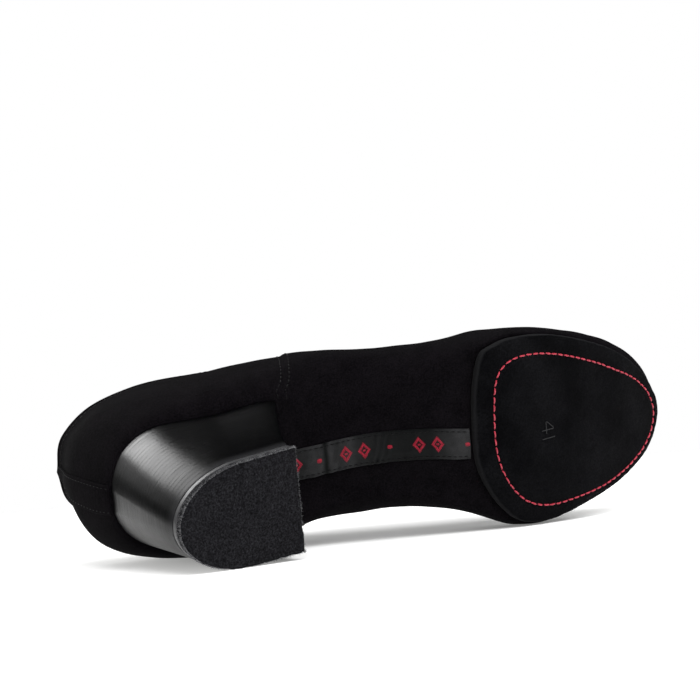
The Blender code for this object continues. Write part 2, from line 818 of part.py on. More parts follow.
def settled_down(points, centre, start):
    """The direction that points down once the hull rests on a face under its centre."""
    bm = bmesh.new()
    for point in points:
        bm.verts.new(point)
    bmesh.ops.convex_hull(bm, input=bm.verts)
    planes = []
    for face in bm.faces:
        face.normal_update()
        place = face.calc_center_median()
        outward_sign = 1.0 if face.normal.dot(place - centre) > 0 else -1.0
        planes.append((face.normal * outward_sign, place))
    bm.free()
    down = start.normalized()
    most_rolls = 40
    for _ in range(most_rolls):
        ahead = [(n.dot(p - centre) / n.dot(down), k) for k, (n, p) in enumerate(planes) if n.dot(down) > TINY]
        normal = planes[min(ahead)[1]][0]
        if (normal - down).length < TINY:
            break
        down = normal.copy()
    return down


def lay_down():
    """Rest the shoe on its inner side, on the ground plane, with its toe along X."""
    points, centre = evaluated_points()
    up = -settled_down(points, centre, Vector((0.0, 1.0, 0.0)))
    toe = Vector((1.0, 0.0, 0.0))
    toe = (toe - toe.dot(up) * up).normalized()
    turn_over = Matrix((toe, up.cross(toe), up)).to_4x4()
    laid = np.array([turn_over @ p for p in points])
    low = laid.min(axis=0)
    high = laid.max(axis=0)
    shift = Vector((-(low[0] + high[0]) / 2, -(low[1] + high[1]) / 2, -low[2]))
    holder = bpy.data.objects.new("shoe_on_its_side", None)
    PARTS.objects.link(holder)
    holder.matrix_world = Matrix.Translation(shift) @ turn_over
    bpy.context.view_layer.update()
    for body in PARTS.objects:
        if body is not holder:
            body.parent = holder


clear_scene()
PARTS = shoe_collection()
SUEDE = material("black_nubuck", (0.012, 0.011, 0.013), 0.9)
SOLE_SUEDE = material("sole_suede", (0.030, 0.030, 0.033), 0.95)
HEEL_STACK = material("stacked_heel", (0.014, 0.014, 0.015), 0.35)
HEEL_LIFT = material("heel_lift", (0.020, 0.020, 0.022), 0.55)
TAPE = material("woven_tape", (0.040, 0.040, 0.042), 0.6)
LINING = material("lining_leather", (0.040, 0.035, 0.032), 0.7)
METAL = material("black_metal", (0.020, 0.020, 0.022), 0.4, 1.0)
LACE = material("lace_cord", (0.012, 0.012, 0.013), 0.8)

build_upper()
build_pad()
build_insole()
build_tape()
build_heel()
build_back_stay()
build_facings()
build_tongue()
build_eyelets()
build_laces()
lay_down()
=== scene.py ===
"""Looks of a right-foot ballroom dance shoe with a split sole, lying on its inner side.

Every surface is made in the shoe's own standing frame: X runs from the heel curve to the toe, Y
towards the inner side of the foot and Z up from the ground. The mount on the heel's tip says how
that frame lies in the world.
"""
import json

import bmesh
import bpy
import numpy as np
from mathutils import Matrix, Vector


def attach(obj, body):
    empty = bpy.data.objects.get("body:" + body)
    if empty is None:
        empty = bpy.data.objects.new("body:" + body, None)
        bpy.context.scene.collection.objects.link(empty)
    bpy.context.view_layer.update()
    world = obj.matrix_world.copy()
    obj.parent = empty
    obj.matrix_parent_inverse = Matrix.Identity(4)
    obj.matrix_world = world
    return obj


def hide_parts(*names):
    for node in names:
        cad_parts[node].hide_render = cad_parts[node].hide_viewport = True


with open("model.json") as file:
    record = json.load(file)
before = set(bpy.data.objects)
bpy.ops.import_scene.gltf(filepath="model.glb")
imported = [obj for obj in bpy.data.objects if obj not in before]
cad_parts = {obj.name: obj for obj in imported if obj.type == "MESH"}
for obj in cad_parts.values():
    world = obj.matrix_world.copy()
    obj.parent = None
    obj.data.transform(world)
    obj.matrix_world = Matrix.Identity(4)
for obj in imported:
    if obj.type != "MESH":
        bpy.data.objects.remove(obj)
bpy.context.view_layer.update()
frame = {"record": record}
RANDOM = np.random.default_rng(41)

# The camera, in the standing shoe's frame: its turn in degrees, and where the shoe's origin lies
# from it, to the right, down and away. The focal length is in pixels of the square picture
CAMERA_YAW = 33.73
CAMERA_PITCH = 11.37
CAMERA_ROLL = -5.12
CAMERA_SHIFT = (-0.0654, 0.0692, 0.5601)
FOCAL_PIXELS = 1501.7
PICTURE_PIXELS = 700
SENSOR = 36.0

# Driving sizes in metres: the last
LENGTH = 0.270
BALL_WIDTH = 0.0965
HEEL_WIDTH = 0.075
HEEL_HEIGHT = 0.061
TOE_SPRING = 0.0124
BACK_HEIGHT = 0.0615
INSTEP_DEPTH = 0.082
TOE_SWING = 0.009

# The upper's wall and the panel step at its side seam
WALL = 0.002
LASTING_MARGIN = 0.012
SEAM_STEP = 0.0008
SEAM_RUN = 0.0012

# The forefoot pad, the heel and its lifts
PAD_THICKNESS = 0.003
PAD_REAR = 0.1505
PAD_CORNER_INNER = 0.022
PAD_CORNER_OUTER = 0.007
HEEL_BREAST = 0.0778
SEAT_BACK = 0.0039
TIP_LENGTH = 0.0537
TIP_WIDTH = 0.0431
TIP_FRONT = 0.0561
LIFT_THICKNESS = 0.0024
TIP_THICKNESS = 0.003

# Thin pieces and trim
GAP = 0.0003
INSOLE_THICKNESS = 0.0025
INSOLE_MARGIN = 0.0015
INSOLE_CLEARANCE = 0.0006
TAPE_WIDTH = 0.0135
TAPE_THICKNESS = 0.0008
TAPE_BOW = (
    (0.00, -0.0010),
    (0.18, 0.0000),
    (0.38, 0.0018),
    (0.58, 0.0027),
    (0.76, 0.0023),
    (0.90, 0.0011),
    (1.00, 0.0002),
)
STAY_WIDTH = 0.017
OVERLAY_THICKNESS = 0.001
OVERLAY_GAP = 0.0004
FACING_TOP = OVERLAY_GAP + OVERLAY_THICKNESS
TONGUE_THICKNESS = 0.0022
TONGUE_RISE = 0.010
EYELET_PAIRS = 5
EYELET_RADIUS = 0.0022
EYELET_INSET = 0.0075
LACE_RADIUS = 0.0011
WELD = 2e-5

# Half widths of the last: a row for each station, as shares of half the local width.
# Columns: share of the length, feather inner, feather outer, girth inner, girth outer
WIDTHS = (
    (0.00, 0.00, 0.00, 0.00, 0.00),
    (0.03, 0.48, 0.53, 0.69, 0.63),
    (0.10, 0.72, 0.72, 0.93, 0.90),
    (0.18, 0.73, 0.72, 1.04, 0.97),
    (0.26, 0.72, 0.74, 0.97, 0.99),
    (0.34, 0.50, 0.60, 0.78, 0.99),
    (0.42, 0.37, 0.46, 0.69, 0.97),
    (0.50, 0.47, 0.61, 0.65, 0.91),
    (0.57, 0.66, 0.83, 0.72, 0.92),
    (0.63, 0.79, 0.92, 0.86, 0.95),
    (0.69, 0.84, 0.91, 0.90, 0.94),
    (0.75, 0.80, 0.85, 0.87, 0.89),
    (0.81, 0.73, 0.76, 0.80, 0.82),
    (0.87, 0.64, 0.65, 0.71, 0.73),
    (0.93, 0.50, 0.48, 0.56, 0.59),
    (0.97, 0.35, 0.31, 0.40, 0.42),
    (1.00, 0.00, 0.00, 0.00, 0.00),
)
# The bottom line: share of the length, share of the heel's rise, share of the toe spring
BOTTOM = (
    (0.00, 1.00, 0.00),
    (0.06, 0.995, 0.00),
    (0.14, 0.95, 0.00),
    (0.24, 0.85, 0.00),
    (0.34, 0.68, 0.00),
    (0.42, 0.47, 0.00),
    (0.50, 0.24, 0.00),
    (0.57, 0.08, 0.00),
    (0.63, 0.01, 0.00),
    (0.68, 0.00, 0.00),
    (0.76, 0.00, 0.05),
    (0.84, 0.00, 0.24),
    (0.92, 0.00, 0.58),
    (1.00, 0.00, 1.00),
)
# How far the girth stands over the bottom line, and the feather over the bottom's middle.
# Columns: share of the length, girth rise and feather rise as shares of the instep depth
RISES = (
    (0.00, 0.33, 0.000),
    (0.20, 0.27, 0.000),
    (0.34, 0.32, 0.020),
    (0.42, 0.28, 0.036),
    (0.52, 0.24, 0.028),
    (0.62, 0.11, 0.010),
    (0.72, 0.12, 0.004),
    (0.85, 0.13, 0.004),
    (1.00, 0.09, 0.004),
)
# The collar: share of the length where its column starts, its own place along the length, its half
# width as a share of the heel width, its height over the bottom as a share of the back height, and
# how far the wall leans in, in degrees
COLLAR = (
    (0.00, 0.026, 0.000, 1.000, 4.0),
    (0.03, 0.044, 0.215, 0.995, 5.0),
    (0.08, 0.090, 0.350, 0.965, 7.0),
    (0.15, 0.157, 0.430, 0.915, 9.0),
    (0.24, 0.243, 0.450, 0.915, 12.0),
)
# The facings, the throat and the ridge of the vamp, in the same columns, with the height as a
# share of the instep depth
INSTEP = (
    (0.33, 0.328, 0.400, 0.800, 24.0),
    (0.41, 0.412, 0.205, 1.000, 46.0),
    (0.50, 0.500, 0.125, 0.965, 62.0),
    (0.56, 0.556, 0.080, 0.905, 72.0),
    (0.62, 0.612, 0.000, 0.825, 88.0),
    (0.70, 0.690, 0.000, 0.655, 90.0),
    (0.78, 0.768, 0.000, 0.515, 90.0),
    (0.86, 0.842, 0.000, 0.400, 90.0),
    (0.94, 0.905, 0.000, 0.285, 90.0),
    (1.00, 0.935, 0.000, 0.200, 90.0),
)

# How full the wall's curves are, as shares of their reach: from the feather round to the girth,
# up from the girth, and down from the top line
CORNER_FULLNESS = 0.56
SIDE_FULLNESS = 0.42
TOP_FULLNESS = 0.38
FEATHER_SETBACK = 0.0035
WAIST_LAP = 0.004

# Shares of the length: both ends of the throat, of the facings and of the tongue, the first and
# last eyelet's distance from the facings' ends, and the stretch where the panel step fades out
THROAT_TOP = 0.41
THROAT_END = 0.62
FACING_END = 0.59
TONGUE_END = 0.66
EYELET_TOP = 0.02
EYELET_LOW = 0.035
STEP_FADE = (0.62, 0.74)

# The wall's rows count 0 at the lasting margin, 1 at the feather, 2 at the girth and 3 at the top
# line. The trim starts and ends on rows of its own
ROWS = (0.0, 0.5, 1.0, 1.25, 1.5, 1.75, 2.0, 2.14, 2.28, 2.42, 2.56, 2.70, 2.85, 3.0)
FLUSH_ROW = 2.985
FACING_ROW = 2.56
TONGUE_ROW = 2.56

# The forms of the pad's rear corners and of the heel block, with their divisions
CORNER_POWER = 2.2
HEEL_ROUND_SHARE = 0.56
TIP_SPREAD = 0.06
HEEL_FLARE = 1.15

SIDES = (1.0, -1.0)
TINY = 1e-6

# A lace from an eyelet to the middle: share of the way to the facing's edge, height over the facing
LACE_COURSE = (
    (0.0, -0.0016),
    (0.0, 0.0006),
    (0.3, 0.0016),
    (0.7, 0.0016),
    (1.0, 0.0014),
)

# An eyelet ring's section: shares of its radius, and heights over the facing
EYELET_PROFILE = (
    (0.62, -0.0012),
    (0.66, 0.0),
    (0.74, 0.00035),
    (0.88, 0.0005),
    (1.06, 0.00045),
    (1.2, 0.0002),
    (1.26, -0.0002),
)

# Divisions of the shown surfaces
WALL_COLUMNS = 900
WALL_ROWS = 540
UPPER_COLUMNS = 320
CORNER_ROWS = 22
SIDE_ROWS = 46
PAD_TURNS = 420
WAVE_COUNT = 12

# How far ahead of the heel curve the mount on the heel's tip lies
MOUNT_X = 0.03

# The leather's soft unevenness, how much the side on the floor gives, and the folds: depth, reach,
# start and end in the standing shoe's frame
SAG_DEPTH = 0.00016
SAG_PITCH = 0.018
FLOOR_EASE = {-1.0: 0.0, 1.0: 0.0006}
CREASES = {
    -1.0: (
        (0.0007, 0.0035, (0.088, -0.034, 0.055), (0.098, -0.030, 0.100)),
        (0.0005, 0.0030, (0.097, -0.034, 0.050), (0.108, -0.032, 0.090)),
        (0.0004, 0.0040, (0.120, -0.036, 0.030), (0.128, -0.036, 0.075)),
    ),
    1.0: (
        (0.0006, 0.0035, (0.088, 0.030, 0.055), (0.098, 0.026, 0.100)),
    ),
}

# The side seam's share of the length at its foot's row, how far it leans a row, and its end
SEAM_FOOT = 1.2
SEAM_LOW = 0.293
SEAM_LEAN = 0.0725
SEAM_HIGH = 0.402

# Stitches: their pitch, length, half width and half height
LEATHER_STITCH = (0.0026, 0.0021, 0.00026, 0.00016)
FACING_STITCH = (0.0026, 0.0021, 0.00028, 0.00018)
TAPE_STITCH = (0.0024, 0.0017, 0.00022, 0.00018)
RED_STITCH = (0.0037, 0.0031, 0.00040, 0.00034)

# The rows of stitches beside the side seam, in runs of its step, and their share of half the stay
SEAM_STITCHES = (-1.2, 1.7)
STAY_STITCHES = 0.78

# The pad: how far its stitch line lies inside its edge, where along the shoe that changes on each
# side, the groove under it, the roundness of its edge as a share of its thickness, and the size mark
STITCH_MARGIN = 0.0085
STITCH_MARGIN_TOE = 0.0034
NARROWS_INNER = (0.17, 0.22)
NARROWS_OUTER = (0.236, 0.268)
STITCH_SMOOTH = 18
GROOVE_DEPTH = 0.00045
GROOVE_REACH = 0.0007
PAD_ROLL = 0.42
MARK_PLACE = (0.1865, -0.0002)
MARK_SIZE = (0.0056, 0.0072)
MARK_PROUD = 0.00012
MARK_RADII = (0.00022, 0.00018)
MARK_STROKES = (
    (((0.75, -0.5), (0.75, 0.5), (0.0, -0.15), (1.05, -0.15)), -0.0040),
    (((0.4, -0.5), (0.4, 0.5)), 0.0018),
)

# The tape: the pitch of its ribs, its ripples (place, height, reach) and its woven figures
TAPE_RIB = 0.0005
RIPPLES = (
    (0.0095, 0.0003, 0.0012),
    (0.0150, 0.0010, 0.0030),
    (0.0228, 0.0006, 0.0014),
    (0.0270, 0.0004, 0.0016),
    (0.0400, 0.0005, 0.0010),
    (0.0430, 0.0006, 0.0009),
    (0.0458, 0.0004, 0.0010),
    (0.0560, 0.0002, 0.0020),
    (0.0770, 0.0006, 0.0035),
)
TAPE_SKEW = 0.0048

# Painted satin highlights and painted shade along the tape's length: brightest where it is 1, darkest at
# 0
TAPE_PAINTED_LIGHT = (
    (0.00, 0.35), (0.10, 0.52), (0.16, 0.88), (0.200, 0.85), (0.225, 0.03), (0.252, 0.92), (0.30, 0.62),
    (0.36, 0.78), (0.41, 0.42), (0.47, 0.30), (0.57, 0.17), (0.66, 0.12), (0.79, 0.12), (0.84, 0.36),
    (0.89, 0.62), (0.94, 0.92), (1.00, 0.80),
)
FIGURES = (0.0010, 0.0310, 0.0627)
DOTS = (0.0151, 0.0462, 0.0795)
FIGURE_APART = 0.0080
FIGURE_LONG = 0.0026
FIGURE_TALL = 0.0034
FIGURE_WALL = 0.0016
FIGURE_PITCH = 0.00042
DOT_TALL = 0.0008

# The figures' threads: half width and height, the shortest one, and the step between their points
WEFT_RADII = (FIGURE_PITCH * 0.33, 0.00009)
WEFT_SHORTEST = 0.0002
WEFT_STEP = 0.0004

# The heel's shown layers, the round edge of its lift and tip, the binding's half width, the tip's
# loose fibres and a height under which none of them reaches
STACK_LAYERS = 22.0
LAYER_EDGE = 0.0005
BINDING_HALF = 0.0014
FIBRE_COUNT = 3400
FIBRE_LENGTHS = (0.0004, 0.0011)
FIBRE_RADIUS = 0.00006
FIBRE_FLOOR = 0.0001

# The strip up the heel: where it starts, how thick it looks and how narrow it gets at the top
STAY_FOOT_ROW = 1.06
STAY_THICKNESS = 0.0006
STAY_TOP_SHARE = 0.60

# The studio: the floor and how its glow grows between two distances from a centre, the lights
# (name, place, aim, size, watts, seen in gloss, lights surfaces) and the dim surroundings
FLOOR_RADIUS = 0.75
FLOOR_GLOW = (0.20, 0.62)
GLOW_CENTRE = (-0.002, -0.010)
GLOW_REACH = (0.080, 0.130)
LIGHTS = (
    ("overhead", (-0.10, -1.05, 1.20), (0.0, 0.0, 0.0), (1.9, 1.9), 60.0, False, True),
    ("behind_heel", (-0.62, 0.93, 1.28), (-0.08, 0.03, 0.05), (1.1, 0.75), 30.0, True, False),
    ("behind_low", (-0.89, 1.27, 0.65), (-0.08, 0.03, 0.05), (1.1, 0.5), 1.6, True, False),
    ("back_fill", (0.0, 1.5, 1.5), (0.0, 0.0, 0.0), (1.6, 1.2), 14.0, False, True),
)
WORLD_GREY = (0.012, 0.012, 0.0125)


def smooth(xs, ys, x):
    """A smooth curve through a table's points, read at x."""
    xs = np.asarray(xs, float)
    ys = np.asarray(ys, float)
    x = np.clip(np.asarray(x, float), xs[0], xs[-1])
    step = np.diff(xs)
    slope = np.diff(ys) / step
    tangent = np.empty(len(xs))
    tangent[0] = slope[0]
    tangent[-1] = slope[-1]
    tangent[1:-1] = (slope[:-1] * step[1:] + slope[1:] * step[:-1]) / (step[1:] + step[:-1])
    flat = slope[:-1] * slope[1:] <= 0.0
    tangent[1:-1][flat] = 0.0
    cell = np.clip(np.searchsorted(xs, x, side="right") - 1, 0, len(xs) - 2)
    t = (x - xs[cell]) / step[cell]
    start = (1 + 2 * t) * (1 - t) ** 2 * ys[cell] + t * (1 - t) ** 2 * step[cell] * tangent[cell]
    end = t * t * (3 - 2 * t) * ys[cell + 1] + t * t * (t - 1) * step[cell] * tangent[cell + 1]
    return start + end


def turn(share):
    """The angle of a station: cosine spacing keeps the round ends of the last round."""
    return np.arccos(np.clip(1 - 2 * np.asarray(share, float), -1, 1))


def share_of(angle):
    return (1 - np.cos(angle)) / 2


def column(table, index):
    return [row[index] for row in table]


def by_angle(table, index, angle):
    """A table's column read as a smooth function of the station angle."""
    return smooth(turn(column(table, 0)), column(table, index), angle)


def bottom_height(x):
    """The height of the last's bottom line over the ground."""
    share = np.asarray(x) / LENGTH
    base = PAD_THICKNESS + GAP
    heel = smooth(column(BOTTOM, 0), column(BOTTOM, 1), share) * (HEEL_HEIGHT - base)
    toe = smooth(column(BOTTOM, 0), column(BOTTOM, 2), share) * TOE_SPRING
    return base + heel + toe


def middle(share):
    """The last's centre line swings to the inner side at the toe."""
    return TOE_SWING * np.clip((share - 0.55) / 0.45, 0, 1) ** 2


def local_half(share):
    """Half the local width: the heel's at the back, the ball's at the front."""
    blend = smooth((0.18, 0.63), (0.0, 1.0), share)
    return 0.5 * (HEEL_WIDTH + (BALL_WIDTH - HEEL_WIDTH) * blend)


def half_width(angle, side, line):
    """Half the width of the feather or the girth line on one side."""
    index = {"feather": 1, "girth": 3}[line] + (0 if side > 0 else 1)
    return by_angle(WIDTHS, index, angle) * local_half(share_of(angle))


def feather_x(share):
    return FEATHER_SETBACK + (LENGTH - 2 * FEATHER_SETBACK) * share


def feather_angle(x):
    return turn((np.asarray(x) - FEATHER_SETBACK) / (LENGTH - 2 * FEATHER_SETBACK))


def feather_half(x, side):
    """Half the width of the flat bottom at a place along the length."""
    return half_width(feather_angle(x), side, "feather")


def outward(x, y):
    """Unit normals of a plan line, pointing away from the last."""
    dx = np.gradient(x)
    dy = np.gradient(y)
    size = np.hypot(dx, dy)
    return dy / size, dx / size


def bezier(points, t):
    a, b, c, d = points
    t = t[:, None, None]
    return a * (1 - t) ** 3 + 3 * b * t * (1 - t) ** 2 + 3 * c * t ** 2 * (1 - t) + d * t ** 3


def stack(x, y, z):
    return np.stack(np.broadcast_arrays(x, y, z), -1)


def unit(vectors):
    """Vectors drawn out or in to a length of one."""
    return vectors / np.linalg.norm(vectors, axis=-1, keepdims=True)


def places_along(line):
    """How far along a line each of its points lies."""
    return np.concatenate(([0.0], np.cumsum(np.linalg.norm(np.diff(line, axis=0), axis=1))))


def between(spots, places, table):
    """A table of points or normals, read between its places."""
    return np.column_stack([np.interp(spots, places, table[:, k]) for k in range(3)])


def waist_angles():
    """Where the closed waist starts under the heel block and ends over the pad."""
    return float(feather_angle(HEEL_BREAST - WAIST_LAP)), float(feather_angle(PAD_REAR + 2 * WAIST_LAP))


def guide_lines(angle, side):
    """The margin, feather, girth and top line of one side, and their outward directions."""
    share = share_of(angle)
    depth = INSTEP_DEPTH
    x = feather_x(share)
    half = half_width(angle, side, "feather")
    nx, ny = outward(x, half)
    nx[0], ny[0] = -1.0, 0.0
    nx[-1], ny[-1] = 1.0, 0.0
    nx[1:-1], ny[1:-1] = -nx[1:-1], ny[1:-1]
    low = bottom_height(x)
    rise = smooth(column(RISES, 0), column(RISES, 2), share) * depth
    feather = stack(x, middle(share) + side * half, low + rise)
    out = stack(nx, side * ny, 0.0)

    margin = feather - out * LASTING_MARGIN
    margin[:, 2] = bottom_height(margin[:, 0])
    start, end = waist_angles()
    closed = (angle > start - TINY) & (angle < end + TINY)
    margin[closed] = stack(x, middle(share), low)[closed]

    girth_x = LENGTH * share
    girth_half = half_width(angle, side, "girth")
    girth_rise = smooth(column(RISES, 0), column(RISES, 1), share) * depth
    girth = stack(girth_x, middle(share) + side * girth_half, low + girth_rise)

    top_table = []
    for rows, unit in ((COLLAR, BACK_HEIGHT), (INSTEP, INSTEP_DEPTH)):
        top_table += [(s, x, half * HEEL_WIDTH, rise * unit, lean) for s, x, half, rise, lean in rows]
    top_half = by_angle(top_table, 2, angle)
    top_half[share >= THROAT_END] = 0.0
    top_x = LENGTH * by_angle(top_table, 1, angle)
    top = stack(top_x, middle(share) + side * top_half, low + by_angle(top_table, 3, angle))
    lean = np.radians(by_angle(top_table, 4, angle))
    return margin, feather, girth, top, out, lean


def wall_points(angle, rows, side):
    """The outer face of the upper: an array of points by row and column."""
    margin, feather, girth, top, out, lean = guide_lines(angle, side)
    up = np.array((0.0, 0.0, 1.0))
    rows = np.asarray(rows, float)
    points = np.empty((len(rows), len(angle), 3))

    low = rows <= 1.0
    t = rows[low][:, None, None]
    points[low] = margin + (feather - margin) * t

    reach = np.linalg.norm((girth - feather)[:, :2], axis=1)[:, None]
    climb = (girth - feather)[:, 2:]
    low_handle = feather + out * reach * CORNER_FULLNESS
    corner = (feather, low_handle, girth - up * climb * CORNER_FULLNESS, girth)
    mid = (rows > 1.0) & (rows <= 2.0)
    points[mid] = bezier(corner, rows[mid] - 1.0)

    rise = (top - girth)[:, 2:]
    span = np.linalg.norm(top - girth, axis=1)[:, None]
    inward = up * np.cos(lean)[:, None] - out * np.sin(lean)[:, None]
    top_handle = top - inward * span * TOP_FULLNESS
    side_curve = (girth, girth + up * rise * SIDE_FULLNESS, top_handle, top)
    high = rows > 2.0
    points[high] = bezier(side_curve, rows[high] - 2.0)
    return points


def wall_normals(points, angle, side):
    """Outward unit normals of a grid of wall points; on the centre line they lie in its plane."""
    across = np.gradient(points, axis=0)
    along = np.gradient(points, axis=1)
    normal = np.cross(across, along) * side
    normal[:, 0, 1] = 0.0
    normal[:, -1, 1] = 0.0
    normal[-1, share_of(angle) >= THROAT_END - TINY, 1] = 0.0
    return unit(normal)


def seam_share(rows):
    """Where the side seam lies: it leans forward from the heel's breast to the throat's corner."""
    return np.clip(SEAM_LOW + SEAM_LEAN * (np.asarray(rows) - SEAM_FOOT), SEAM_LOW, SEAM_HIGH)


def seam_lift(angle, rows):
    """The front panel laps over the rear one at the side seam, and the step fades towards the toe."""
    share = share_of(angle)[None, :]
    ahead = np.clip((share - seam_share(rows)[:, None]) * LENGTH / SEAM_RUN, 0.0, 1.0)
    fade = smooth(STEP_FADE, (1.0, 0.0), share)
    climb = smooth((0.85, 1.15), (0.0, 1.0), rows)
    return SEAM_STEP * climb[:, None] * ahead * ahead * (3 - 2 * ahead) * fade


def bump_along(points, start, end, reach):
    """How near points are to a line between two places: 1 on it, fading to 0 at about its reach."""
    start = np.asarray(start, float)
    line = np.asarray(end, float) - start
    t = np.clip(((points - start) @ line) / (line @ line), 0.0, 1.0)
    away = np.linalg.norm(points - (start + t[..., None] * line), axis=-1)
    fade = np.clip(4 * t * (1 - t), 0.0, 1.0) ** 0.5
    return np.exp(-(away / reach) ** 2) * fade


def waves(points, scale, seed):
    """A soft uneven field between about -1 and 1, the same on each run."""
    random = np.random.default_rng(seed)
    total = np.zeros(points.shape[:-1])
    for _ in range(WAVE_COUNT):
        direction = unit(random.normal(size=3))
        pitch = scale * random.uniform(0.7, 1.6)
        total += np.sin(points @ direction * (2 * np.pi / pitch) + random.uniform(0, 2 * np.pi))
    return total / WAVE_COUNT ** 0.5


class Wall:
    """The outer face of one side of the upper, with its folds, read at any angle and row."""

    def __init__(self, side):
        self.side = side
        self.angles = np.linspace(0, np.pi, WALL_COLUMNS + 1)
        self.rows = np.linspace(0, ROWS[-1], WALL_ROWS + 1)
        points = wall_points(self.angles, self.rows, side)
        normals = wall_normals(points, self.angles, side)
        lift = seam_lift(self.angles, self.rows)
        for depth, reach, start, end in CREASES[side]:
            lift = lift - depth * bump_along(points, start, end, reach)
        inside = smooth((1.0, 1.6, 2.7, 3.0), (0.0, 1.0, 1.0, 0.0), self.rows)[:, None]
        ends = smooth((0.0, 0.06, 0.94, 1.0), (0.0, 1.0, 1.0, 0.0), share_of(self.angles))[None, :]
        lift = lift + (SAG_DEPTH * waves(points, SAG_PITCH, 7) - FLOOR_EASE[side]) * inside * ends
        self.points = points + normals * lift[..., None]
        self.normals = wall_normals(self.points, self.angles, side)

    def at(self, angle, row, lift=0.0):
        """Points and outward normals at arrays of angles and rows, lifted off the face."""
        angle, row, lift = np.broadcast_arrays(np.asarray(angle, float), row, lift)
        u = np.clip(angle / np.pi, 0, 1) * WALL_COLUMNS
        v = np.clip(row / ROWS[-1], 0, 1) * WALL_ROWS
        i = np.minimum(u.astype(int), WALL_COLUMNS - 1)
        j = np.minimum(v.astype(int), WALL_ROWS - 1)
        u = (u - i)[..., None]
        v = (v - j)[..., None]
        found = []
        for grid in (self.points, self.normals):
            low = grid[j, i] * (1 - u) + grid[j, i + 1] * u
            high = grid[j + 1, i] * (1 - u) + grid[j + 1, i + 1] * u
            found.append(low * (1 - v) + high * v)
        normal = unit(found[1])
        return found[0] + normal * lift[..., None], normal


def shoe_matrix():
    """From the standing shoe's frame to the world, worked out from the mount on the heel's tip."""
    mount = next(m for m in frame["record"]["mounts"] if m["name"] == "heel_tip_face")
    up = -Vector(mount["axis"]).normalized()
    toe = Vector((up.z, 0.0, -up.x)).normalized()
    turned = Matrix((toe, up.cross(toe), up)).transposed()
    origin = Vector(mount["pos_m"]) - turned @ Vector((MOUNT_X, 0.0, 0.0))
    return Matrix.Translation(origin) @ turned.to_4x4()


def to_world(points):
    """Points of the standing shoe as points of the world."""
    points = np.asarray(points, float)
    place = np.array(SHOE)
    return points @ place[:3, :3].T + place[:3, 3]


def make_camera():
    """The photograph's camera: its angle to the shoe, with the roll that the lying shoe needs."""
    turned = Matrix.Rotation(np.radians(CAMERA_ROLL), 3, "Z")
    turned = turned @ Matrix.Rotation(np.radians(CAMERA_PITCH), 3, "X")
    turned = turned @ Matrix.Rotation(np.radians(-CAMERA_YAW), 3, "Y")
    right, down, away = turned
    local = Matrix((right, -down, -away)).transposed().to_4x4()
    local.translation = -(turned.transposed() @ Vector(CAMERA_SHIFT))
    data = bpy.data.cameras.new("camera")
    data.sensor_width = SENSOR
    data.lens = FOCAL_PIXELS / PICTURE_PIXELS * SENSOR
    data.clip_start = 0.01
    camera = bpy.data.objects.new("camera", data)
    bpy.context.scene.collection.objects.link(camera)
    camera.matrix_world = SHOE @ local
    bpy.context.scene.camera = camera


# Meshes

def mesh_from(name, points, faces, uvs=None, weld=WELD):
    """A mesh in the world's frame from points of the standing shoe, with shared points welded."""
    mesh = bpy.data.meshes.new(name)
    mesh.from_pydata(to_world(points).tolist(), [], faces)
    if uvs is not None:
        layer = mesh.uv_layers.new(name="UVMap")
        corners = np.empty(len(mesh.loops), int)
        mesh.loops.foreach_get("vertex_index", corners)
        layer.data.foreach_set("uv", np.asarray(uvs, float)[corners].ravel())
    bm = bmesh.new()
    bm.from_mesh(mesh)
    if weld:
        bmesh.ops.remove_doubles(bm, verts=bm.verts, dist=weld)
        bmesh.ops.dissolve_degenerate(bm, edges=bm.edges, dist=weld)
    bm.to_mesh(mesh)
    bm.free()
    return mesh


def grid_faces(rows, columns, reverse=False, close=False, start=0):
    """Quads over a grid of points, closed into a tube along its rows where asked."""
    faces = []
    for j in range(rows - 1):
        for i in range(columns if close else columns - 1):
            n = (i + 1) % columns
            ring = (j * columns + i, j * columns + n, (j + 1) * columns + n, (j + 1) * columns + i)
            faces.append(tuple(start + k for k in (ring[::-1] if reverse else ring)))
    return faces


def slab_faces(rows, columns):
    """Faces of a closed slab from two grids of points, the upper one first."""
    count = rows * columns
    faces = grid_faces(rows, columns) + grid_faces(rows, columns, reverse=True, start=count)
    rim = list(range(columns)) + [j * columns + columns - 1 for j in range(1, rows)]
    rim += [(rows - 1) * columns + i for i in range(columns - 2, -1, -1)]
    rim += [j * columns for j in range(rows - 2, 0, -1)]
    for a, b in zip(rim, rim[1:] + rim[:1]):
        faces.append((a, b, count + b, count + a))
    return faces


def slab(name, top, under, uvs=None):
    """A closed slab between two grids of points."""
    points = np.concatenate((top.reshape(-1, 3), under.reshape(-1, 3)))
    return outward_faces(mesh_from(name, points, slab_faces(*top.shape[:2]), uvs, weld=0))


def thicken(body, thickness, offset):
    """Gives a surface a wall, turned inwards or outwards."""
    wall = body.modifiers.new("wall", "SOLIDIFY")
    wall.thickness = thickness
    wall.offset = offset
    return wall


def piece(name, mesh, finishes, replaced=(), smooth_angle=None):
    """A shown piece of the shoe, riding on its one body."""
    body = bpy.data.objects.new(name, mesh)
    for finish in finishes:
        mesh.materials.append(finish)
    bpy.context.scene.collection.objects.link(body)
    mesh.shade_smooth()
    if smooth_angle:
        mesh.set_sharp_from_angle(angle=np.radians(smooth_angle))
    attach(body, "root")
    if replaced:
        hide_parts(*replaced)
    return body


def outward_faces(mesh):
    bm = bmesh.new()
    bm.from_mesh(mesh)
    bmesh.ops.recalc_face_normals(bm, faces=bm.faces)
    bm.to_mesh(mesh)
    bm.free()
    return mesh


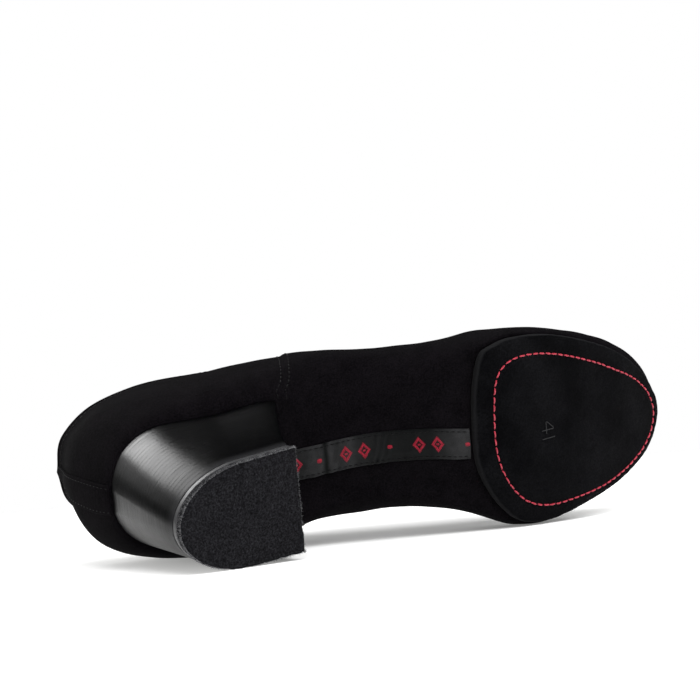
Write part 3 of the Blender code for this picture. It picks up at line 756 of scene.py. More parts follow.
def lofted(name, rings, uvs=None):
    """A closed solid from rings of points, with a fan on the first and the last ring."""
    rings = np.asarray(rings, float)
    count, size = rings.shape[:2]
    points = np.concatenate((rings.reshape(-1, 3), rings[:1].mean(axis=1), rings[-1:].mean(axis=1)))
    faces = grid_faces(count, size, close=True)
    first = count * size
    for k in range(size):
        n = (k + 1) % size
        faces.append((first, n, k))
        faces.append((first + 1, (count - 1) * size + k, (count - 1) * size + n))
    if uvs is not None:
        uvs = np.concatenate((np.asarray(uvs, float).reshape(-1, 2), [[0.5, 0.0], [0.5, 1.0]]))
    return outward_faces(mesh_from(name, points, faces, uvs))


def tubes(name, lines, radii, sides=8):
    """Many round or flattened cords in one mesh.

    lines is a list of point arrays with the normals of what they lie on, and radii gives the half
    width and the half height of each line, as a number or for each of its points.
    """
    points = []
    faces = []
    turn_step = np.linspace(0, 2 * np.pi, sides, endpoint=False)
    for (line, normal), (half_wide, half_high) in zip(lines, radii):
        along = unit(np.gradient(line, axis=0))
        across = unit(np.cross(along, normal))
        up = np.cross(across, along)
        wide = across[:, None] * np.cos(turn_step)[None, :, None] * np.reshape(half_wide, (-1, 1, 1))
        high = up[:, None] * np.sin(turn_step)[None, :, None] * np.reshape(half_high, (-1, 1, 1))
        rings = line[:, None] + wide + high
        start = sum(len(p) for p in points)
        points.append(rings.reshape(-1, 3))
        faces += grid_faces(len(line), sides, close=True, start=start)
        faces.append(tuple(start + k for k in reversed(range(sides))))
        faces.append(tuple(start + (len(line) - 1) * sides + k for k in range(sides)))
    return outward_faces(mesh_from(name, np.concatenate(points), faces, weld=0))


def stitch_lines(line, normal, sizes, closed=False):
    """Short stitches along a line: arched in the middle, diving into the leather at both ends."""
    pitch, length, half_wide, half_high = sizes
    if closed:
        line = np.concatenate((line, line[:1]))
        normal = np.concatenate((normal, normal[:1]))
    places = places_along(line)
    count = max(int(places[-1] / pitch), 1)
    step = places[-1] / count
    arch = np.array((-1.0, 0.25, 0.85, 1.0, 0.85, 0.25, -1.0))
    taper = np.array((0.55, 0.9, 1.0, 1.0, 1.0, 0.9, 0.55))
    spots = np.linspace(-0.5, 0.5, len(arch))
    lines = []
    radii = []
    for k in range(count):
        middle_place = (k + 0.5 + RANDOM.uniform(-0.04, 0.04)) * step
        along = np.clip(middle_place + spots * length * RANDOM.uniform(0.94, 1.04), 0, places[-1])
        spot = between(along, places, line)
        up = between(along, places, normal)
        slant = unit(np.cross(spot[-1] - spot[0], up[3])) * half_wide * RANDOM.uniform(-0.35, 0.35)
        lines.append((spot + up * (arch * half_high * 0.6)[:, None] + np.outer(spots * 2, slant), up))
        radii.append((taper * half_wide, taper * half_high))
    return lines, radii


def stitches(name, rows, finish, sides=6):
    """One piece from several rows of stitches."""
    lines = [one for row in rows for one in row[0]]
    radii = [one for row in rows for one in row[1]]
    return piece(name, tubes(name, lines, radii, sides), (finish,))


# Materials

class Finish:
    """A Principled material and short ways to add to its nodes."""

    def __init__(self, name, colour, roughness, **settings):
        self.material = bpy.data.materials.new(name)
        self.material.use_nodes = True
        self.tree = self.material.node_tree
        self.shader = self.tree.nodes["Principled BSDF"]
        self.shader.inputs["Base Color"].default_value = (*colour, 1.0)
        self.shader.inputs["Roughness"].default_value = roughness
        for words, value in settings.items():
            socket = words.replace("_", " ").title().replace("Ior", "IOR")
            self.shader.inputs[socket].default_value = value
        self.place = self.tree.nodes.new("ShaderNodeTexCoord").outputs["Object"]
        self.last_bump = None

    def put(self, socket, value):
        """Links a socket to another node's output, or sets it to a number, a vector or a colour."""
        if hasattr(value, "is_linked"):
            self.tree.links.new(value, socket)
        elif socket.type == "RGBA":
            socket.default_value = (*value, 1.0)
        else:
            socket.default_value = value

    def node(self, kind, **inputs):
        made = self.tree.nodes.new(kind)
        for words, value in inputs.items():
            self.put(made.inputs[words.replace("_", " ").title()], value)
        return made

    def uv(self):
        return self.node("ShaderNodeUVMap").outputs["UV"]

    def axis(self, vector, name):
        """One coordinate of a vector."""
        return self.node("ShaderNodeSeparateXYZ", vector=vector).outputs[name]

    def measure(self, kind, vector, other):
        """A number worked out from two vectors."""
        made = self.node("ShaderNodeVectorMath", vector=vector)
        made.operation = kind
        made.inputs[1].default_value = other
        return made.outputs["Value"]

    def noise(self, pitch, detail=3.0, roughness=0.55, vector=None):
        """A noise field whose lumps are about pitch metres wide."""
        made = self.node("ShaderNodeTexNoise", vector=vector or self.place, scale=1.0 / pitch)
        self.put(made.inputs["Detail"], detail)
        self.put(made.inputs["Roughness"], roughness)
        return made.outputs["Fac"]

    def ramp(self, value, low, high, start=0.0, end=1.0):
        """Maps a value between low and high to start and end."""
        made = self.node("ShaderNodeMapRange", value=value, from_min=low, from_max=high, to_min=start)
        made.inputs["To Max"].default_value = end
        return made.outputs["Result"]

    def blend(self, share, dark, light):
        """A colour between two, by a share."""
        made = self.tree.nodes.new("ShaderNodeMix")
        made.data_type = "RGBA"
        for socket, value in ((0, share), (6, dark), (7, light)):
            self.put(made.inputs[socket], value)
        return made.outputs[2]

    def math(self, kind, first, second=0.0):
        made = self.tree.nodes.new("ShaderNodeMath")
        made.operation = kind
        for socket, value in zip(made.inputs, (first, second)):
            self.put(socket, value)
        return made.outputs[0]

    def colour(self, output):
        self.tree.links.new(output, self.shader.inputs["Base Color"])

    def rough(self, output):
        self.tree.links.new(output, self.shader.inputs["Roughness"])

    def bump(self, height, distance, strength=1.0):
        """Adds a relief of some metres on top of what is there."""
        made = self.tree.nodes.new("ShaderNodeBump")
        made.inputs["Distance"].default_value = distance
        made.inputs["Strength"].default_value = strength
        self.tree.links.new(height, made.inputs["Height"])
        if self.last_bump:
            self.tree.links.new(self.last_bump, made.inputs["Normal"])
        self.last_bump = made.outputs["Normal"]
        self.tree.links.new(self.last_bump, self.shader.inputs["Normal"])


def nubuck_finish():
    """The upper's napped leather: a soft mottle of two near blacks and a fibrous relief."""
    dark, light = (0.0009, 0.0008, 0.0010), (0.0048, 0.0040, 0.0050)
    fine, coarse, relief = 0.0005, 0.009, 0.00014
    made = Finish("black nubuck", dark, 0.95, specular_ior_level=0.02, sheen_weight=0.006)
    cloud = made.noise(coarse, 4.0, 0.6)
    fibre = made.noise(fine, 2.0, 0.7)
    mixed = made.math("ADD", made.math("MULTIPLY", cloud, 0.22), made.math("MULTIPLY", fibre, 0.78))
    made.colour(made.blend(made.ramp(mixed, 0.40, 0.60), dark, light))
    made.bump(made.noise(fine * 4, 3.0, 0.6), relief * 1.5)
    made.bump(fibre, relief)
    return made.material


def pad_finish():
    """Sole suede, scuffed paler in broad patches, with a painted highlight round its rounded edge."""
    made = Finish("sole suede", (0.004, 0.004, 0.0045), 0.95, specular_ior_level=0.03, sheen_weight=0.01)
    fibre = made.noise(0.0007, 3.0, 0.7)
    scuff = made.ramp(made.noise(0.030, 4.0, 0.55), 0.42, 0.66)
    body = made.blend(scuff, (0.0016, 0.0016, 0.0020), (0.0052, 0.0052, 0.0060))
    dark = made.blend(scuff, (0.0006, 0.0006, 0.0008), (0.0019, 0.0019, 0.0023))
    # painted highlight: the suede turns paler where its face turns away from the ground face, round the
    # pad's rounded edge
    normal = made.node("ShaderNodeNewGeometry").outputs["Normal"]
    facing = made.measure("DOT_PRODUCT", normal, -SHOE.to_3x3().col[2])
    rim = made.ramp(facing, 0.90, 0.55)
    nap = made.blend(made.ramp(fibre, 0.40, 0.60), dark, body)
    made.colour(made.blend(rim, nap, (0.0085, 0.0085, 0.0092)))
    made.bump(made.noise(0.0030, 3.0, 0.6), 0.0003)
    made.bump(fibre, 0.0002)
    return made.material


def tip_finish():
    """The trodden suede of the heel's tip: coarse fibres, pale on dark."""
    made = Finish("tip suede", (0.012, 0.012, 0.013), 0.95, specular_ior_level=0.04, sheen_weight=0.02)
    fibre = made.noise(0.0008, 4.0, 0.8)
    patch = made.noise(0.010, 3.0)
    dark = made.blend(patch, (0.0010, 0.0010, 0.0013), (0.0026, 0.0026, 0.0031))
    pale = made.blend(patch, (0.0150, 0.0150, 0.0175), (0.0240, 0.0240, 0.0270))
    made.colour(made.blend(made.ramp(fibre, 0.43, 0.68), dark, pale))
    made.bump(made.noise(0.0020, 3.0, 0.65), 0.0004)
    made.bump(fibre, 0.0003)
    return made.material


def stack_finish():
    """Polished black layers: fine lines and the joints between layers run round the heel."""
    made = Finish("stacked heel", (0.0012, 0.0012, 0.0014), 0.30, specular_ior_level=0.24)
    uv = made.uv()
    stretch = made.node("ShaderNodeMapping", vector=uv, scale=(5.0, 230.0, 1.0)).outputs["Vector"]
    lines = made.noise(1.0, 3.0, 0.7, stretch)
    height = made.axis(uv, "Y")
    wobble = made.math("MULTIPLY", made.noise(0.020, 2.0), 0.35)
    level = made.math("MULTIPLY", height, STACK_LAYERS)
    layer = made.math("FRACT", made.math("ADD", level, wobble))
    joint = made.math("ABSOLUTE", made.math("SUBTRACT", layer, 0.5))
    faint = made.ramp(made.noise(0.006, 2.0), 0.40, 0.62, 0.35, 1.0)
    joint = made.math("MULTIPLY", made.ramp(joint, 0.06, 0.0), faint)
    worn = made.ramp(lines, 0.35, 0.70, 0.27, 0.40)
    made.rough(made.math("ADD", worn, made.math("MULTIPLY", joint, 0.40)))
    foot = made.ramp(height, 0.10, 0.0)
    polish = made.ramp(height, 0.0, 0.80, 0.05, 0.25)
    made.tree.links.new(polish, made.shader.inputs["Specular IOR Level"])
    body = made.blend(made.ramp(lines, 0.45, 0.65), (0.0004, 0.0004, 0.0005), (0.0014, 0.0014, 0.0017))
    made.colour(made.blend(foot, body, (0.0160, 0.0160, 0.0172)))
    made.bump(made.math("MULTIPLY", joint, -1.0), 0.00005)
    made.bump(lines, 0.000012)
    made.bump(made.noise(0.012, 2.0), 0.0003, 0.4)
    return made.material


def lift_finish():
    """The thin layer between the heel block and its tip, rubbed matt."""
    made = Finish("heel lift", (0.020, 0.020, 0.022), 0.45, specular_ior_level=0.5)
    made.bump(made.noise(0.0015, 3.0), 0.0001)
    made.colour(made.blend(made.noise(0.002), (0.016, 0.016, 0.018), (0.030, 0.030, 0.032)))
    return made.material


def tape_finish():
    """Satin weave: fine ribs across the tape; the satin's highlights and shade on its ripples are
    painted into its colour, in bands along its length.
    """
    made = Finish("woven tape", (0.012, 0.012, 0.013), 0.45, specular_ior_level=0.10)
    uv = made.uv()
    ribs = made.node("ShaderNodeTexWave", vector=uv, scale=1.0 / TAPE_RIB, distortion=0.6, detail=1.0)
    cross = made.node("ShaderNodeMapping", vector=uv, rotation=(0.0, 0.0, np.pi / 2)).outputs["Vector"]
    threads = made.node("ShaderNodeTexWave", vector=cross, scale=0.6 / TAPE_RIB, distortion=0.4)
    weave = made.math("MULTIPLY", ribs.outputs["Fac"], threads.outputs["Fac"])
    along = made.ramp(made.axis(uv, "X"), 0.0, TAPE_PLACES[-1])
    # the ramp paints the satin's highlights and shade along the tape's length into its colour
    band = made.node("ShaderNodeValToRGB", fac=along)
    band.color_ramp.interpolation = "EASE"
    stops = band.color_ramp.elements
    stops[0].position, stops[0].color = TAPE_PAINTED_LIGHT[0][0], (*[TAPE_PAINTED_LIGHT[0][1]] * 3, 1.0)
    stops[1].position, stops[1].color = TAPE_PAINTED_LIGHT[-1][0], (*[TAPE_PAINTED_LIGHT[-1][1]] * 3, 1.0)
    for place, value in TAPE_PAINTED_LIGHT[1:-1]:
        stops.new(place).color = (value, value, value, 1.0)
    uneven = made.ramp(made.noise(0.004, 2.0), 0.3, 0.7, 0.75, 1.25)
    shade = made.math("MULTIPLY", band.outputs[0], uneven)
    # painted satin light: both thread tones go from painted shade to painted highlight along the tape;
    # pressed is the brighter thread
    dim_threads_painted_light = made.blend(shade, (0.0006, 0.0009, 0.0009), (0.0120, 0.0122, 0.0128))
    pressed = made.blend(shade, (0.0012, 0.0017, 0.0017), (0.0560, 0.0560, 0.0580))
    made.colour(made.blend(weave, dim_threads_painted_light, pressed))
    made.bump(weave, 0.00008)
    made.bump(made.noise(0.002), 0.0001)
    return made.material


def thread_finish(name, dark, light, gloss=0.15):
    """Twisted thread or loose fibre: a fine mottle of two colours."""
    made = Finish(name, dark, 0.45, specular_ior_level=gloss, sheen_weight=0.02)
    twist = made.noise(0.00035, 2.0)
    made.colour(made.blend(made.ramp(twist, 0.35, 0.65), dark, light))
    made.bump(twist, 0.00008)
    return made.material


def lining_finish():
    """Smooth pigmented leather with a small grain."""
    made = Finish("lining leather", (0.030, 0.026, 0.024), 0.55, specular_ior_level=0.4)
    cells = made.node("ShaderNodeTexVoronoi", vector=made.place, scale=1.0 / 0.0009).outputs["Distance"]
    made.colour(made.blend(made.noise(0.010, 4.0), (0.022, 0.019, 0.018), (0.040, 0.034, 0.031)))
    made.bump(cells, 0.00006)
    made.bump(made.noise(0.006), 0.0003, 0.5)
    return made.material


def metal_finish():
    """Black lacquer over metal, worn a little unevenly."""
    made = Finish("black metal", (0.020, 0.020, 0.022), 0.32, metallic=1.0, coat_weight=0.4)
    made.rough(made.ramp(made.noise(0.001), 0.3, 0.7, 0.24, 0.45))
    return made.material


def cord_finish():
    """Round braid: two sets of threads that cross."""
    made = Finish("lace cord", (0.006, 0.006, 0.0065), 0.75, sheen_weight=0.25, specular_ior_level=0.3)
    uv = made.uv()
    left = made.node("ShaderNodeTexWave", vector=uv, scale=1.0, distortion=0.0)
    left.bands_direction = "DIAGONAL"
    mirrored = made.node("ShaderNodeMapping", vector=uv, scale=(-1.0, 1.0, 1.0)).outputs["Vector"]
    right = made.node("ShaderNodeTexWave", vector=mirrored, scale=1.0, distortion=0.0)
    right.bands_direction = "DIAGONAL"
    braid = made.math("MAXIMUM", left.outputs["Fac"], right.outputs["Fac"])
    made.colour(made.blend(braid, (0.003, 0.003, 0.0035), (0.010, 0.010, 0.011)))
    made.bump(braid, 0.0002)
    return made.material


# The upper

def upper_grid():
    """Angles and rows of the shown wall: finer at the side seam and at the round of the bottom."""
    angles = np.linspace(0, np.pi, UPPER_COLUMNS + 1)
    low = np.array((0.0, 0.3, 0.6, 0.85))
    corner = np.linspace(1.0, 2.0, CORNER_ROWS, endpoint=False)
    high = np.linspace(2.0, 3.0, SIDE_ROWS)
    return angles, np.concatenate((low, corner, high))


def build_upper():
    """The wall, one shell with its thickness turned inwards and its inner face in lining leather."""
    angles, rows = upper_grid()
    points = []
    faces = []
    for side in SIDES:
        grid = WALLS[side].at(angles[None, :], rows[:, None])[0]
        start = len(points) * len(rows) * len(angles)
        faces += grid_faces(len(rows), len(angles), reverse=side > 0, start=start)
        points.append(grid.reshape(-1, 3))
    mesh = mesh_from("upper_shell", np.concatenate(points), faces)
    body = piece("upper_shell", mesh, (NUBUCK, LINING), ("upper",))
    wall = thicken(body, WALL, -1.0)
    wall.material_offset = 1
    wall.material_offset_rim = 0


def collar_run(row, count, lift=0.0):
    """The line round the collar from the inner throat corner round the heel to the outer one."""
    angles = np.linspace(0.0, float(turn(THROAT_TOP)), count)
    outer, outer_up = WALLS[-1.0].at(angles, row, lift)
    inner, inner_up = WALLS[1.0].at(angles[1:], row, lift)
    return np.concatenate((inner[::-1], outer)), np.concatenate((inner_up[::-1], outer_up))


def build_collar():
    """The rolled binding on the top edge, from one throat corner round the heel to the other."""
    line, up = collar_run(ROWS[-1], 140, -WALL / 2)
    ends = np.minimum(np.arange(len(line)), np.arange(len(line))[::-1])
    half = BINDING_HALF * np.clip((ends + 1) / 4, 0.3, 1.0)
    mesh = tubes("collar_binding", [(line, up)], [(half, half)], 14)
    piece("collar_binding", mesh, (NUBUCK,))


def patch(name, angle, sides, rows, thickness, finish, slot, replaced, gap=0.0002, edge=0.0009):
    """A thin leather piece laid on the wall, with rounded edges.

    angle holds the angle of each row and column, sides the side of each column.
    """
    rows = np.asarray(rows)
    base = np.empty((*angle.shape, 3))
    normal = np.empty_like(base)
    for side in SIDES:
        own = sides == side
        if own.any():
            base[:, own], normal[:, own] = WALLS[side].at(angle[:, own], rows[:, None])
    up = np.linalg.norm(np.diff(base, axis=0), axis=2)
    over = np.linalg.norm(np.diff(base, axis=1), axis=2)
    climb = np.vstack((np.zeros(len(sides)), np.cumsum(up, axis=0)))
    run = np.hstack((np.zeros((len(rows), 1)), np.cumsum(over, axis=1)))
    near = np.minimum(np.minimum(climb, climb[-1] - climb), np.minimum(run, run[:, -1:] - run))
    bulge = np.sqrt(np.clip(1 - (1 - np.clip(near / edge, 0, 1)) ** 2, 0, 1))
    top = base + normal * (gap + thickness * bulge)[..., None]
    under = base + normal * (gap * 0.5)
    piece(name, slab(name, top, under), (finish,), replaced)


def crowded(start, end, count, edge=0.12):
    """Places between two ends, crowded at both so that an edge can be round."""
    t = np.linspace(0, 1, count)
    shaped = t - edge * np.sin(2 * np.pi * t)
    return start + (end - start) * shaped


def build_back_stay():
    """A strip up the back of the heel, narrower at the top, with a row of stitches on each side."""
    back = np.linspace(0.0, float(turn(0.1)), 200)
    rows = crowded(STAY_FOOT_ROW, FLUSH_ROW, 110, 0.05)
    low = float(np.interp(STAY_WIDTH / 2, half_width(back, 1.0, "girth"), back))
    steps = crowded(-1.0, 1.0, 41)
    narrow = smooth((STAY_FOOT_ROW, FLUSH_ROW), (1.0, STAY_TOP_SHARE), rows)
    angle = np.abs(steps)[None, :] * low * narrow[:, None]
    sides = np.where(steps < 0, -1.0, 1.0)
    patch("heel_stay", angle, sides, rows, STAY_THICKNESS, NUBUCK, "black_nubuck", ("back_stay",))
    runs = []
    for side in SIDES:
        line_rows = np.linspace(STAY_FOOT_ROW + 0.04, FLUSH_ROW - 0.03, 160)
        narrow = smooth((STAY_FOOT_ROW, FLUSH_ROW), (1.0, STAY_TOP_SHARE), line_rows)
        line, up = WALLS[side].at(low * STAY_STITCHES * narrow, line_rows, STAY_THICKNESS)
        runs.append(stitch_lines(line, up, LEATHER_STITCH))
    stitches("heel_stay_stitches", runs, BLACK_THREAD)


def build_facings():
    """The eyelet facings, with a row of stitches inside their edges."""
    runs = []
    for name, side in (("facing_inner", 1.0), ("facing_outer", -1.0)):
        angles = crowded(float(turn(THROAT_TOP)), float(turn(FACING_END)), 70, 0.04)
        rows = crowded(FACING_ROW, FLUSH_ROW, 26)
        label = "eyestay_" + name.split("_")[1]
        every = np.tile(angles, (len(rows), 1))
        sides = np.full(len(angles), side)
        patch(label, every, sides, rows, OVERLAY_THICKNESS, NUBUCK, "black_nubuck", (name,))
        lift = FACING_TOP - GAP
        angles = np.linspace(angles[2], angles[-3], 160)
        for row in (FACING_ROW + 0.035, FLUSH_ROW - 0.05):
            line, up = WALLS[side].at(angles, row, lift)
            runs.append(stitch_lines(line, up, FACING_STITCH))
    stitches("eyestay_stitches", runs, BLACK_THREAD)


def build_seam_stitches():
    """Two rows beside the side seam, and a row below the collar's binding."""
    runs = []
    for side in SIDES:
        for run in SEAM_STITCHES:
            rows = np.linspace(1.02, 2.93, 300)
            angle = turn(seam_share(rows) + SEAM_RUN * run / LENGTH)
            line, up = WALLS[side].at(angle, rows, 0.0)
            runs.append(stitch_lines(line, up, LEATHER_STITCH))
    line, up = collar_run(2.90, 200, 0.0)
    runs.append(stitch_lines(line, up, LEATHER_STITCH))
    stitches("upper_stitches", runs, BLACK_THREAD)


# The sole

def pad_polar(count):
    """The pad's outline round its middle: the directions and how far the edge lies in each."""
    toe = LENGTH - FEATHER_SETBACK
    x = PAD_REAR + (toe - PAD_REAR) * share_of(np.linspace(0, np.pi, 400))
    loop = []
    for side, corner in ((1.0, PAD_CORNER_INNER), (-1.0, PAD_CORNER_OUTER)):
        t = np.clip((x - PAD_REAR) / corner, 0.0, 1.0)
        round_off = (1 - (1 - t) ** CORNER_POWER) ** (1 / CORNER_POWER)
        y = middle(x / LENGTH) + side * feather_half(x, side) * round_off
        loop.append(np.column_stack((x, y))[:: int(side)])
    loop = np.concatenate(loop)
    centre = np.array(((PAD_REAR + toe) / 2, float(middle((PAD_REAR + toe) / 2 / LENGTH))))
    heading = np.arctan2(*(loop - centre).T[::-1])
    order = np.argsort(heading)
    reach = np.linalg.norm(loop - centre, axis=1)
    turns = np.linspace(-np.pi, np.pi, count, endpoint=False)
    return centre, turns, np.interp(turns, heading[order], reach[order], period=2 * np.pi)


def stitch_reach(centre, turns, reach):
    """How far the stitch line lies from the pad's middle: inside the edge by the margin."""
    ray = np.column_stack((np.cos(turns), np.sin(turns)))
    edge = centre + ray * reach[:, None]
    x, y = edge.T
    inner = smooth(NARROWS_INNER, (0.0, 1.0), x) * (y > 0)
    toe = smooth(NARROWS_OUTER, (0.0, 1.0), x) * (y <= 0)
    margin = STITCH_MARGIN + (STITCH_MARGIN_TOE - STITCH_MARGIN) * np.maximum(inner, toe)
    found = np.empty(len(turns))
    for k in range(len(turns)):
        tries = np.linspace(reach[k] * 0.4, reach[k], 160)
        spots = centre + ray[k] * tries[:, None]
        clear = (np.linalg.norm(spots[:, None] - edge[None], axis=2) - margin[None]).min(axis=1)
        found[k] = tries[np.flatnonzero(clear >= 0)[-1]]
    kernel = np.hanning(2 * STITCH_SMOOTH + 1)
    padded = np.concatenate((found[-STITCH_SMOOTH:], found, found[:STITCH_SMOOTH]))
    return np.convolve(padded, kernel / kernel.sum(), mode="valid")


def build_pad():
    """The napped forefoot sole: round edges, and a groove under its lockstitch."""
    centre, turns, reach = pad_polar(PAD_TURNS)
    stitch = stitch_reach(centre, turns, reach)
    ray = np.column_stack((np.cos(turns), np.sin(turns)))
    margin = reach - stitch
    rings = []

    def ring(radius, height=0.0):
        """Points round the pad, at some height over its lower face."""
        spot = centre + ray * radius[:, None]
        return np.column_stack((spot, bottom_height(spot[:, 0]) - GAP - PAD_THICKNESS + height))

    for share in np.linspace(0.06, 0.93, 16):
        rings.append(ring(stitch * share))
    for away in (-0.0014, -0.0008, -0.0004, 0.0, 0.0004, 0.0008, 0.0014, 0.0021):
        rings.append(ring(stitch + away, GROOVE_DEPTH * np.exp(-(away / GROOVE_REACH) ** 2)))
    for share in (0.45, 0.62, 0.78):
        rings.append(ring(stitch + margin * share))
    first = len(rings)
    rolled = PAD_THICKNESS * PAD_ROLL
    for a in np.linspace(0, np.pi / 2, 7):
        rings.append(ring(reach - rolled * (1 - np.sin(a)), rolled * (1 - np.cos(a))))
    for share in (0.6, 0.8, 0.95):
        rings.append(ring(reach - 0.0001 * share, PAD_THICKNESS * share))
    rings.append(ring(reach - 0.0005, PAD_THICKNESS))
    for share in (0.9, 0.5, 0.1):
        rings.append(ring(reach * share, PAD_THICKNESS))
    rings = np.array(rings)
    rings[..., 2] += waves(rings, 0.020, 3) * 0.00018 + waves(rings, 0.0035, 5) * 0.00005
    edge = rings[first:first + 9]
    edge[..., :2] += ray * (waves(edge, 0.0030, 9) * 0.00010)[..., None]
    piece("sole_pad", lofted("sole_pad", rings), (PAD_SUEDE,), ("outsole_front",))

    line = ring(stitch, GROOVE_DEPTH * 0.35)
    down = np.tile((0.0, 0.0, -1.0), (PAD_TURNS, 1))
    row = stitch_lines(line, down, RED_STITCH, closed=True)
    stitches("sole_stitches", [row], RED_THREAD, 8)


def build_size_mark():
    """The plain size number on the pad: thin strokes, read from the toe."""
    lines = []
    radii = []
    across, tall = MARK_SIZE
    count = 14
    for stroke, offset in MARK_STROKES:
        stroke = np.array(stroke)
        t = np.linspace(0, len(stroke) - 1, count)
        x = MARK_PLACE[0] + np.interp(t, range(len(stroke)), stroke[:, 1]) * tall
        y = MARK_PLACE[1] + np.interp(t, range(len(stroke)), stroke[:, 0]) * across + offset
        line = np.column_stack((x, y, bottom_height(x) - GAP - PAD_THICKNESS - MARK_PROUD))
        lines.append((line, np.tile((0.0, 0.0, -1.0), (count, 1))))
        radii.append(MARK_RADII)
    mesh = tubes("size_mark", lines, radii, 6)
    piece("size_mark", mesh, (MARK,))


# The heel

def heel_plan():
    """The tip's outline: share along its length and share across, from the outer front corner."""
    turn_end = HEEL_ROUND_SHARE
    angles = np.linspace(np.pi / 2, 0, 60)
    curve = [(turn_end - turn_end * np.cos(a), np.sin(a)) for a in angles]
    straight = [(s, 1.0) for s in np.linspace(1.0, turn_end, 24)[:-1]]
    half = np.array(straight + curve)
    corner = 0.022
    arc = np.linspace(0, np.pi / 2, 6)[:-1]
    rounded = np.column_stack((1 - corner * (1 - np.cos(arc)), 1 - corner * 1.2 * (1 - np.sin(arc))))
    half = np.concatenate((rounded, half[half[:, 0] < 1 - corner]))
    front = np.column_stack((np.ones(9), np.linspace(0, 1 - corner * 1.2, 10)[:-1]))
    outer = np.concatenate((front, half))
    inner = outer[::-1][1:-1] * (1, -1)
    return np.concatenate((outer * (1, -1), inner * (1, -1)))


def heel_outlines():
    """The heel block's outline in plan at its tip and at its seat, point for point."""
    plan = heel_plan()
    back = TIP_FRONT - TIP_LENGTH
    tip_x = back + TIP_LENGTH * plan[:, 0]
    spread = 1.0 - TIP_SPREAD * (1.0 - plan[:, 0])
    tip_y = plan[:, 1] * TIP_WIDTH / 2 * spread
    seat_x = SEAT_BACK + (HEEL_BREAST - SEAT_BACK) * plan[:, 0]
    side = np.where(plan[:, 1] > 0, 1.0, -1.0)
    half = np.where(side > 0, feather_half(seat_x, 1.0), feather_half(seat_x, -1.0))
    limit = np.sqrt(np.clip(1 - (1 - np.clip(plan[:, 0] / HEEL_ROUND_SHARE, 0, 1)) ** 2, 1e-9, 1))
    seat_y = np.clip(plan[:, 1] / limit, -1, 1) * half
    return np.column_stack((tip_x, tip_y)), np.column_stack((seat_x, seat_y))


def build_heel():
    """The heel block with the lift and the suede tip under it; gives back the tip's outline."""
    tip, seat = heel_outlines()
    base = TIP_THICKNESS + GAP + LIFT_THICKNESS + GAP
    top = bottom_height(seat[:, 0]) - GAP
    rings = []
    uvs = []
    around = np.linspace(0, 1, len(tip))
    for t in np.concatenate(([0.0, 0.004], np.linspace(0.012, 1.0, 70))):
        flare = t ** HEEL_FLARE
        plan = tip * (1 - flare) + seat * flare
        if t == 0.0:
            plan = plan.mean(axis=0) + (plan - plan.mean(axis=0)) * 0.988
        rings.append(np.column_stack((plan, base + (top - base) * t)))
        uvs.append(np.column_stack((around, np.full(len(tip), t))))
    mesh = lofted("heel_block", rings, uvs)
    piece("heel_block", mesh, (STACK,), ("heel",), 40)

    centre = tip.mean(axis=0)
    out = unit(tip - centre)
    quarter = np.linspace(0, np.pi / 2, 5)
    flat = (0.12, 0.35, 0.6, 0.82, 0.94)

    def ring(plan, height):
        return np.column_stack((plan, np.full(len(tip), height)))

    def rolled(a, face, way):
        """A ring of the round edge, turned by an angle from a flat face towards the other."""
        return ring(tip - out * LAYER_EDGE * (1 - np.sin(a)), face + way * LAYER_EDGE * (1 - np.cos(a)))

    layers = (
        ("lift_layer", TIP_THICKNESS + GAP / 2, base - GAP / 2, LIFT, "heel_lift", "heel_lift", 0.00004),
        ("tip_layer", 0.0, TIP_THICKNESS, TIP_SUEDE, "sole_suede", "heel_tip", 0.00022),
    )
    for name, low, high, finish, slot, node, rough in layers:
        rings = [ring(centre + (tip - centre) * share, low) for share in flat]
        rings += [rolled(a, low, 1) for a in quarter]
        rings += [ring(tip, z) for z in np.linspace(low + LAYER_EDGE, high - LAYER_EDGE, 5)[1:-1]]
        rings += [rolled(a, high, -1) for a in quarter[::-1]]
        rings = np.array(rings)
        under, edge = rings[:len(flat)], rings[len(flat):]
        edge[..., :2] += out * (waves(edge, 0.0024, 11) * rough)[..., None]
        under[..., 2] -= np.abs(waves(under, 0.005, 13)) * rough * 0.6
        piece(name, lofted(name, rings), (finish,), (node,), 50)
    return tip


# The waist

def tape_lift(along):
    """The tape stands a little off the waist where it ripples."""
    lift = np.zeros_like(along)
    for place, height, reach in RIPPLES:
        lift += height * np.exp(-((along - place) / reach) ** 2)
    return lift


def tape_top(along, across):
    """How high the tape's face lies; its ripples run a little askew."""
    return GAP + TAPE_THICKNESS * 0.9 + tape_lift(along + TAPE_SKEW * across / TAPE_WIDTH)


def tape_points(along, across, lift):
    """Points on the tape's course: metres along from the heel's breast and across its middle."""
    angle = np.interp(along, TAPE_PLACES, TAPE_ANGLES)
    run = (angle - TAPE_START) / (TAPE_STOP - TAPE_START)
    across = across - smooth(column(TAPE_BOW, 0), column(TAPE_BOW, 1), run)
    side = np.where(across > 0, 1.0, -1.0)
    found = np.empty((*np.shape(along), 3))
    normals = np.empty_like(found)
    for one in SIDES:
        own = side == one
        row = np.abs(across[own]) / half_width(angle[own], one, "feather")
        found[own], normals[own] = WALLS[one].at(angle[own], row, lift[own])
    return found, normals


